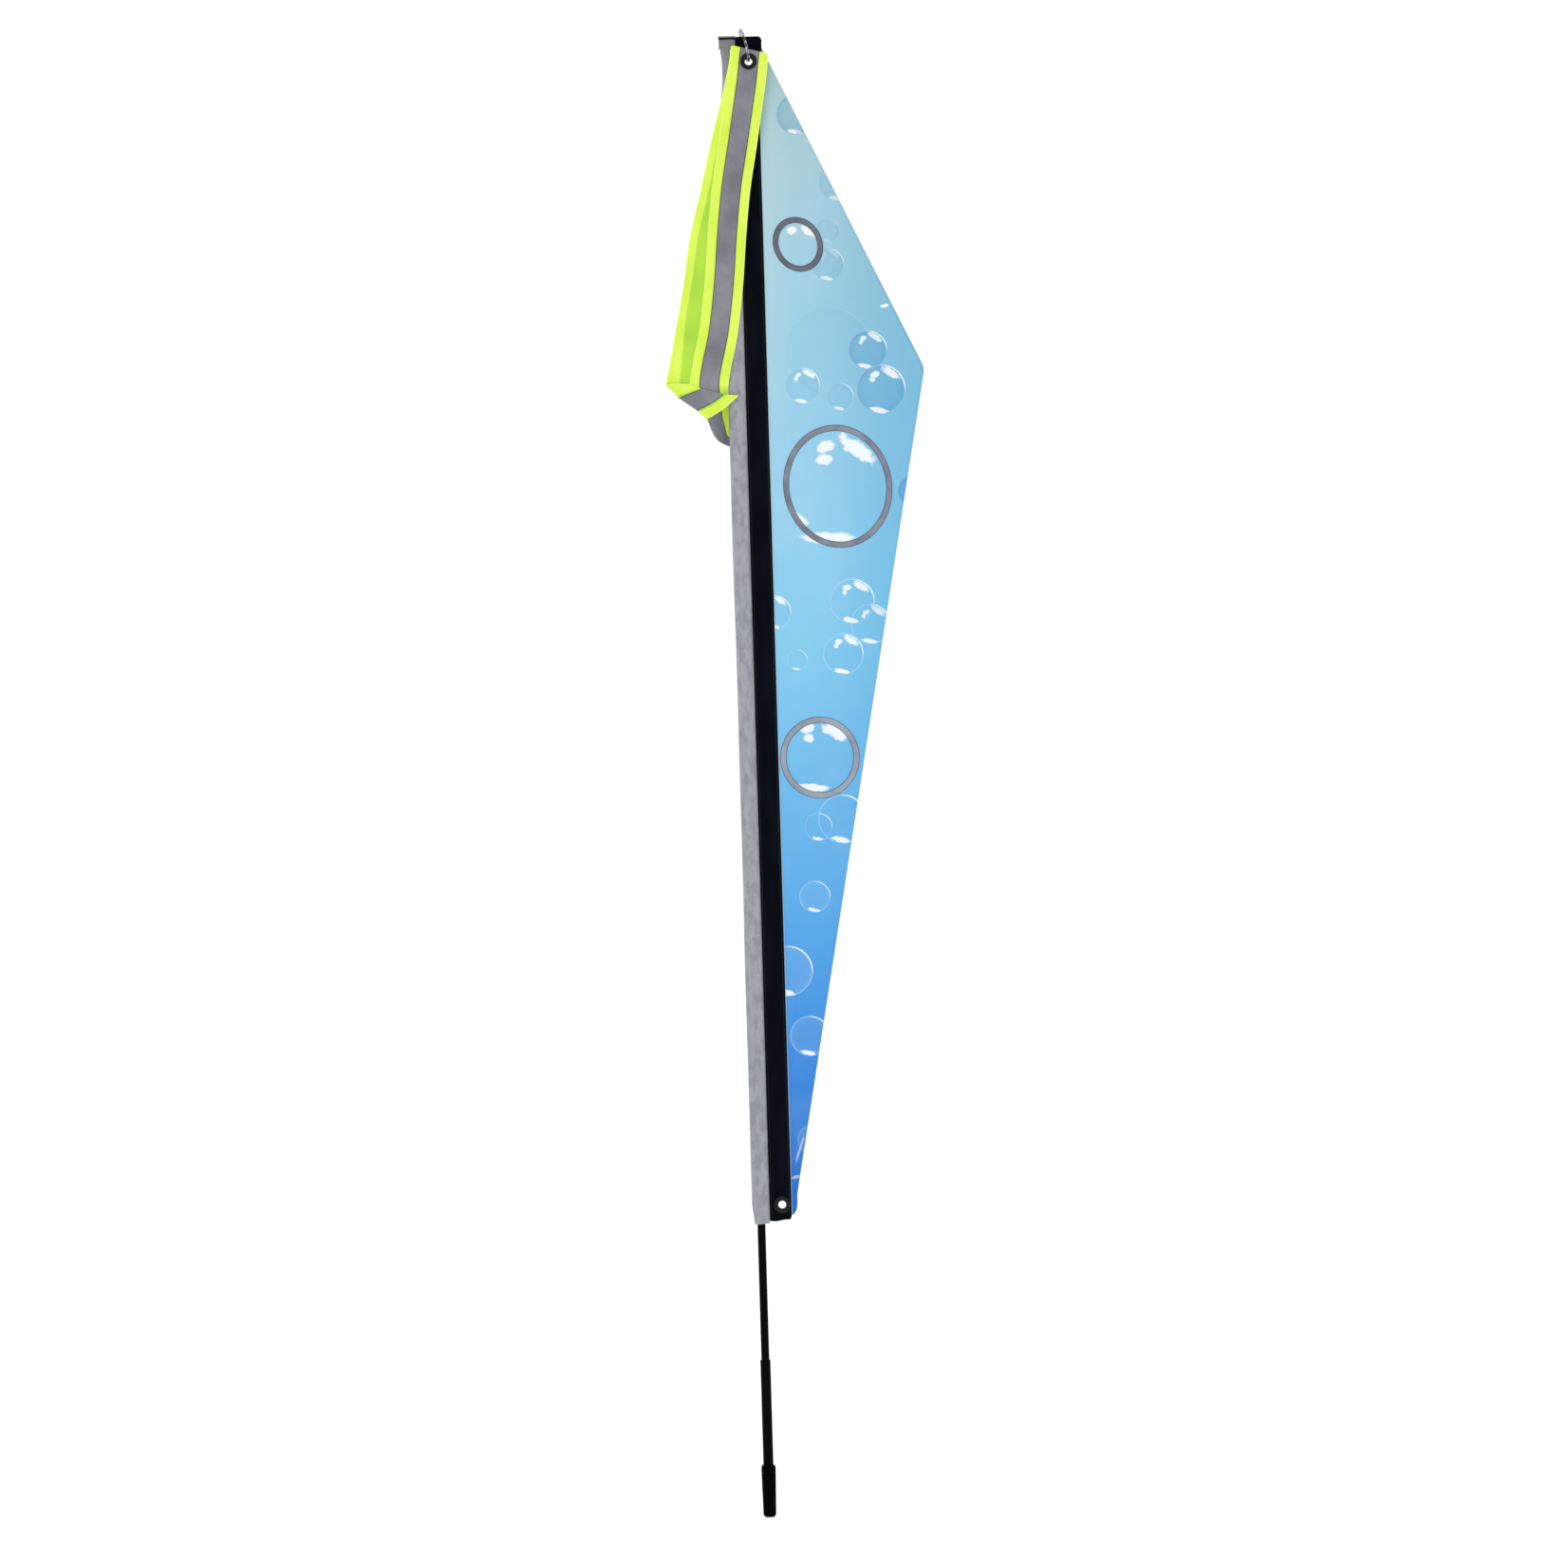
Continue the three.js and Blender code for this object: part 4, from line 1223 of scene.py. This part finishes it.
def front_tape_rule():
    """The front strand: flat against the flag, its lower end turning back behind the sleeve."""
    line = Line(FRONT_LINE)
    face = box_mm("tail_front_tape")[0].y + 0.3
    beside_sleeve = SLEEVE_LOW.x - 0.9
    sleeve_passed = GROMMET.z - 412
    held_from, held_to = GROMMET.z - 425, GROMMET.z - 350
    sweep_depth = 18.6
    turns_at = 0.84

    def rule(along, aside):
        under = smooth((along - turns_at) / 0.03)
        narrow = 1 - 0.3 * smooth((along - 0.85) / 0.07) - 0.4 * smooth((along - 0.92) / 0.07)
        turned = -2 * STRIPE_HALF - aside if aside < -STRIPE_HALF else aside
        behind = 0.9 * under * smooth((-STRIPE_HALF - aside) / 2)
        trim = top_trim(aside)
        x, z = line.beside(trim + along * (line.length - trim), narrow * lerp(aside, turned, under))
        if held_from < z < held_to:
            x = min(x, beside_sleeve + 14 * smooth((z - sleeve_passed) / 75))
        sweep = sweep_depth * smooth((x + 36) / 24) * smooth((1410 - z) / 36)
        ripple = 0.25 * math.sin(along * 23 + aside / 12) + 0.15 * math.sin(along * 61)
        calm = smooth((along - 0.07) / 0.1)
        return Vector((x, face + behind + sweep + ripple * calm, z))

    return rule, line.length


def tape_mesh(name, rule, half, lift, material, node, rows, columns, thickness, backing_shade):
    """A strip of tape from a rule of share along and offset aside, raised by `lift` from that surface."""
    step = 0.002

    def place(along, column):
        aside = lerp(-half, half, column)
        here = rule(along, aside)
        ahead = rule(min(along + step, 1), aside) - rule(max(along - step, 0), aside)
        across = rule(along, aside + 0.5) - rule(along, aside - 0.5)
        up = ahead.cross(across)
        if up.length < 1e-9:
            return here
        return here + up.normalized() * lift

    piece = cloth(name, rows, columns, place, material, "tail", [node], thickness)
    mark(piece, "aside", [abs(lerp(-1, 1, c / (columns - 1))) for c in range(columns)] * rows)
    # This mark tells the knit's material to paint shade down the middle of the back strand.
    mark(piece, "backing_shade", [backing_shade] * (rows * columns))
    return piece


# Where the back strand folds and where its crossing piece is cut, as offsets from the tail's grommet:
# one spot each for the tape's left edge, the two edges of its stripe and its right edge.
EDGE_SHARES = (0.0, 0.24, 0.76, 1.0)
FOLD_SPOTS = ((-114, -396.2), (-97.7, -412.7), (-74.7, -429.3), (-64.2, -440.5))
END_SPOTS = ((-84.7, -396.3), (-69.7, -402.5), (-42.3, -410.8), (-23.9, -412.2))


def across_spots(spots, share):
    """The place of one thread of the tape among the spots of its edges."""
    i = sum(share > edge for edge in EDGE_SHARES[1:3])
    part = (share - EDGE_SHARES[i]) / (EDGE_SHARES[i + 1] - EDGE_SHARES[i])
    a, b = Vector(spots[i]), Vector(spots[i + 1])
    return a.lerp(b, part) + Vector((GROMMET.x, GROMMET.z))


def back_tape_rule():
    """The back strand: down to a slanting fold, then up across the front strand to its cut end."""
    line = Line(BACK_LINE)
    tape_low, tape_high = box_mm("tail_back_tape")
    back_face = tape_high.y - 0.3
    front_face = tape_low.y + 0.3
    radius = (back_face - front_face) / 2
    fold_way = (Vector(FOLD_SPOTS[-1]) - Vector(FOLD_SPOTS[0])).normalized()
    outward_way = Vector((fold_way.y, -fold_way.x))
    strand_share = 0.84
    fold_share = 0.03
    gather = 0.25
    deepest_sag = 2.6
    ends = {}

    def strand_end(aside, target):
        """Distance down the line at which this thread of the tape comes level with the fold."""
        near, far = 0.0, line.length
        for _ in range(26):
            half = (near + far) / 2
            if (line.beside(half, aside) - target).dot(outward_way) < 0:
                near = half
            else:
                far = half
        return near

    def rule(along, aside):
        across = (aside + TAPE_HALF) / (2 * TAPE_HALF)
        fold = across_spots(FOLD_SPOTS, across)
        key = round(aside, 3)
        if key not in ends:
            ends[key] = strand_end(aside, fold)
        end = ends[key]
        if along <= strand_share:
            part = along / strand_share
            trim = top_trim(aside) - 2
            spot = line.beside(trim + (end - trim) * part, aside)
            spot += (fold - line.beside(end, aside)) * smooth((part - 1 + gather) / gather)
            ripple = 0.25 * math.sin(along * 19 - aside / 14) * smooth((along - 0.07) / 0.1)
            ripple *= smooth((strand_share - along) / 0.1)
            return Vector((spot.x, back_face + ripple, spot.y))
        if along <= strand_share + fold_share:
            a = math.pi * (along - strand_share) / fold_share
            out = fold + outward_way * radius * math.sin(a) * 0.5
            return Vector((out.x, back_face - radius * (1 - math.cos(a)), out.y))
        folded_share = strand_share + fold_share
        share = (along - folded_share) / (1 - folded_share)
        spot = fold.lerp(across_spots(END_SPOTS, across), share)
        arch = math.sin(math.pi * share)
        sag = deepest_sag * arch * (across - 0.25)
        return Vector((spot.x + 0.5 * sag, front_face - 0.4 * arch, spot.y - sag))

    return rule, line.length


def build_strand(side, rule, length, rows, lift, backing_shade):
    """One strand: the knitted tape and the film stripe on it, both punched for the tail's grommet."""
    knit = tape_mesh(
        f"tail_{side}_knit", rule, TAPE_HALF, 0.0, NEON, f"tail_{side}_tape",
        rows, 21, 0.45, backing_shade,
    )
    film = tape_mesh(
        f"tail_{side}_film", rule, STRIPE_HALF, lift, STRIPE_FILM, f"tail_{side}_stripe",
        rows, 13, 0.2, 0.0,
    )
    for piece, half, below in ((knit, TAPE_HALF, "split_ring_wire"), (film, STRIPE_HALF, knit.name)):
        punch(piece, [(GROMMET.x, GROMMET.z, HOLE_RADIUS)])


def build_tail():
    """Both strands of the tail, and the thread along the front stripe's edges."""
    rule, length = front_tape_rule()
    build_strand("front", rule, length, 170, 0.42, 0.0)
    for side, aside in (("left", -STRIPE_HALF - 1), ("right", STRIPE_HALF + 1)):
        spots = [rule(i / 160, aside) + Vector((0, -0.3, 0)) for i in range(6, 140)]
        stitch_row(f"tail_front_{side}_stitches", spots, NEON_THREAD, "tail", pitch=3.0)
    rule, length = back_tape_rule()
    crossing_length = 45
    build_strand("back", rule, length + crossing_length, 190, -0.42, 1.0)


# ---------------------------------------------------------------- studio


def area_light(name, place, aim, size, power):
    """A soft rectangular lamp that points at its aim."""
    data = bpy.data.lights.new(name, "AREA")
    data.shape = "RECTANGLE"
    data.size, data.size_y = size
    data.energy = power
    light = bpy.data.objects.new(name, data)
    light.location = place
    light.rotation_euler = (Vector(aim) - Vector(place)).to_track_quat("-Z", "Y").to_euler()
    bpy.context.scene.collection.objects.link(light)


def build_studio():
    """A pale floor in a white room that is darker behind the camera, and two large soft lamps."""
    mesh = bpy.data.meshes.new("floor")
    reach = 20.0
    corners = [(-reach, -reach, 0), (reach, -reach, 0), (reach, reach, 0), (-reach, reach, 0)]
    mesh.from_pydata(corners, [], [(0, 1, 2, 3)])
    floor = bpy.data.objects.new("floor", mesh)
    floor.location.z = -0.0005
    bpy.context.scene.collection.objects.link(floor)
    s = Surface("floor_paint", Roughness=0.9)
    s.put("Base Color", s.blend(s.noise(s.place, 2.0), colour(236, 236, 236), colour(242, 242, 242)))
    s.put("Emission Color", (1, 1, 1, 1))
    s.put("Emission Strength", 0.42)
    mesh.materials.append(s.material)

    world = bpy.data.worlds.new("room")
    bpy.context.scene.world = world
    world.use_nodes = True
    t = Tree(world.node_tree)
    ground = world.node_tree.nodes["Background"]
    way = t.add("ShaderNodeTexCoord").outputs["Generated"]
    toward = t.add("ShaderNodeSeparateXYZ", {0: way}).outputs
    in_front = t.band(toward[1], 0.1, -0.35)
    sideways = t.math("ABSOLUTE", toward[0])
    screens = t.times(t.band(sideways, 0.25, 0.4), t.band(sideways, 0.85, 0.7))
    dim = t.times(in_front, t.plus(0.35, t.times(screens, 0.6)))
    t.feed(ground.inputs["Color"], t.blend(dim, (1, 1, 1, 1), (0.02, 0.02, 0.02, 1)))
    ground.inputs["Strength"].default_value = 1.02
    area_light("key", (-2.4, -3.4, 3.0), (0, 0, 0.95), (2.6, 2.6), 46)
    area_light("fill", (2.8, -3.2, 1.4), (0, 0, 0.95), (2.4, 2.8), 24)
    bpy.context.scene.view_settings.view_transform = "Standard"


# ---------------------------------------------------------------- build everything

SLEEVE_EDGES = slice_edges("pole_sleeve")
build_pole()
build_sleeve()
build_header()
build_webbing()
build_panel()
build_circle("upper", UPPER_CIRCLE_FILM, 0.12, 38)
build_circle("middle", MIDDLE_CIRCLE_FILM, 0.05, 30)
build_circle("lower", LOWER_CIRCLE_FILM, 0.0, 0)
for name in ("upper", "lower", "tail"):
    build_grommet(name)
build_ring()
build_tail()
build_studio()
